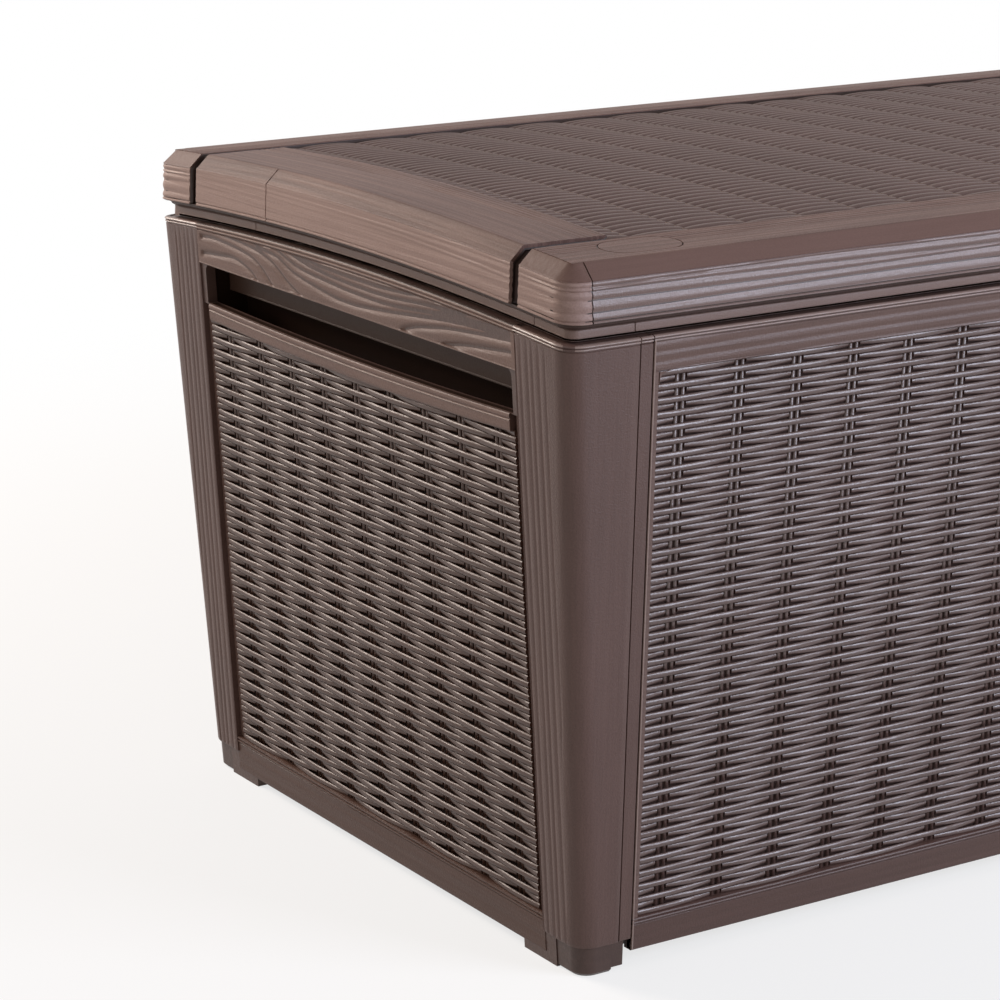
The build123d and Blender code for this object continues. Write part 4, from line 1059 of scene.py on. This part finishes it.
gripRows = [(489.3, 0.8), (489.3, -0.2), (489.7, -0.6), (490.5, -0.5), (491.2, 0.0), (530.0, 0.0)]
leftGrip = reliefSkin(spread(-grip["half"], grip["half"], 8), gripRows, gripPlace, (-1, 0, 0), 0.8)
dress(leftGrip, "left_grip_skin", gripResin, "inner_resin", "root")
toRight(leftGrip, "right_grip_skin")


def endStilePlace(column, height):
    along, inset = column
    return -bodyHalf(height, -inset)[0], along, height


endStileColumns = [(259.6, 6.9), (259.8, 5.4), (260.4, 4.8), (272.0, 4.8)]
backStile = reliefSkin(endStileColumns, spread(40.0, 478.0, 6), endStilePlace, (-1, 0, 0), 1.0)
# the stile in the lighter copy, painted light
dress(backStile, "left_back_stile", endRailLitResin)
toBack(backStile, "left_front_stile")
toRight(backStile, "right_back_stile")
mirroredCopy(backStile, "right_front_stile", True, True)


def endFootRailPlace(along, row):
    height, inset = row
    inside = rails["footShare"] if inset == 0 else 0.0
    depth = rails["grainDepth"] * railWave(height, along, *rails["endWave"]) * inside
    return -bodyHalf(height, -rails["inset"] - inset - depth)[0], along, height


endFootRows = [(8.4, 2.0), (8.7, 0.8), (9.4, 0.1)] + [(height, 0.0) for height in spread(10.2, 36.0, 32)]
endFootRows += [(36.4, 0.3), (36.8, 1.0), (37.2, 0.6), (37.6, -0.4), (38.4, -0.8), (39.2, -0.4), (39.5, 0.5),
                (39.9, 0.9), (40.3, 0.4), (40.8, -0.5), (41.6, -0.9), (42.6, -0.4), (43.2, 1.2), (43.5, 3.0),
                (43.6, 6.0)]
leftFootRail = reliefSkin(spread(-rails["endHalf"], rails["endHalf"], 70), endFootRows, endFootRailPlace,
                          (-1, 0, 0), 2.0)
# the end bottom rail in the darker copy, painted shade
dress(leftFootRail, "left_bottom_rail_skin", endFootRailShadeResin)
toRight(leftFootRail, "right_bottom_rail_skin")
print("rails ready")


studio = {
    "floorBounce": "#b9b6b4", "floorSeen": "#f7f6f5", "fadeStart": 1.0, "fadeEnd": 2.3, "nearGlow": 0.72,
    "worldLight": "#f2ece8", "worldStrength": 0.33,
    "frontRight": {"place": (1.3, -2.85, 1.45), "target": (0.1, -0.3, 0.3), "size": 1.7, "power": 100,
                   "colour": "#e4ebff"},
    "backLeft": {"place": (-1.95, 3.0, 2.15), "target": (-0.5, 0, 0.35), "size": 1.5, "power": 120,
                 "colour": "#fff0e4"},
    "leftFill": {"place": (-3.6, -0.9, 1.8), "target": (-0.3, 0, 0.35), "size": 1.8, "power": 12,
                 "colour": "#fff4ec"},
    "lens": 118.31, "sensor": 36, "cameraPlace": (-2.0506, -2.4251, 1.1065), "cameraTurn": (74.84, 0, -32.84),
}
clearSelection()
bpy.ops.mesh.primitive_plane_add(size=40, location=(0, 0, 0))
floor = bpy.context.object
floor.name = "studio_floor"
applyPlace(floor)
floorMaterial = newMaterial("matt studio paper")
floorRays = addNode(floorMaterial, "LightPath")
floorSeen = addNode(floorMaterial, "Math", {"operation": "MAXIMUM"}, {
    0: (floorRays, "Is Camera Ray"), 1: (floorRays, "Is Glossy Ray")})
floorPlace = addNode(floorMaterial, "TexCoord")
floorReach = addNode(floorMaterial, "VectorMath", {"operation": "LENGTH"}, {0: (floorPlace, "Object")})
floorFade = addNode(floorMaterial, "MapRange", {"interpolation_type": "SMOOTHSTEP"}, {
    "Value": (floorReach, "Value"), "From Min": studio["fadeStart"], "From Max": studio["fadeEnd"],
    "To Min": studio["nearGlow"], "To Max": 1.0})
floorShare = addNode(floorMaterial, "Math", {"operation": "MULTIPLY"}, {
    0: (floorSeen, "Value"), 1: (floorFade, "Result")})
floorColour = addNode(floorMaterial, "Mix", {"data_type": "RGBA"}, {
    "Factor": (floorSeen, "Value"), 6: linear(studio["floorBounce"]), 7: linear(studio["floorSeen"])})
floorShader = addNode(floorMaterial, "BsdfDiffuse", {}, {"Color": (floorColour, 2)})
floorGlow = addNode(floorMaterial, "Emission", {}, {"Color": (1, 1, 1, 1), "Strength": 1.0})
floorMixed = addNode(floorMaterial, "MixShader", {}, {
    0: (floorShare, "Value"), 1: (floorShader, "BSDF"), 2: (floorGlow, "Emission")})
addNode(floorMaterial, "OutputMaterial", {}, {"Surface": (floorMixed, "Shader")})
floor.data.materials.append(floorMaterial)

world = bpy.data.worlds.new("studio")
bpy.context.scene.world = world
world.use_nodes = True
world.node_tree.nodes.clear()
rays = addNode(world, "LightPath")
seen = addNode(world, "Math", {"operation": "MAXIMUM"}, {
    0: (rays, "Is Camera Ray"), 1: (rays, "Is Glossy Ray")})
seen = addNode(world, "Math", {"operation": "MAXIMUM"}, {
    0: (seen, "Value"), 1: (rays, "Is Transmission Ray")})
soft = addNode(world, "Background", {}, {
    "Color": linear(studio["worldLight"]), "Strength": studio["worldStrength"]})
white = addNode(world, "Background", {}, {"Color": (1, 1, 1, 1), "Strength": 1.0})
mixed = addNode(world, "MixShader", {}, {0: (seen, "Value"), 1: (soft, "Background"),
                                                   2: (white, "Background")})
addNode(world, "OutputWorld", {}, {"Surface": (mixed, "Shader")})


def softbox(name, values):
    lamp = bpy.data.lights.new(name, "AREA")
    lamp.shape = "SQUARE"
    lamp.size = values["size"]
    lamp.energy = values["power"]
    lamp.color = linear(values["colour"])[:3]
    light = bpy.data.objects.new(name, lamp)
    bpy.context.collection.objects.link(light)
    light.location = values["place"]
    aim = Vector(values["target"]) - Vector(values["place"])
    light.rotation_euler = aim.to_track_quat("-Z", "Y").to_euler()


for lightName in ("frontRight", "backLeft", "leftFill"):
    softbox(lightName, studio[lightName])

cameraData = bpy.data.cameras.new("camera")
cameraData.lens = studio["lens"]
cameraData.sensor_width = studio["sensor"]
camera = bpy.data.objects.new("camera", cameraData)
bpy.context.collection.objects.link(camera)
camera.location = studio["cameraPlace"]
camera.rotation_euler = [math.radians(degrees) for degrees in studio["cameraTurn"]]
bpy.context.scene.camera = camera
bpy.context.scene.view_settings.view_transform = "Standard"
print("studio ready")
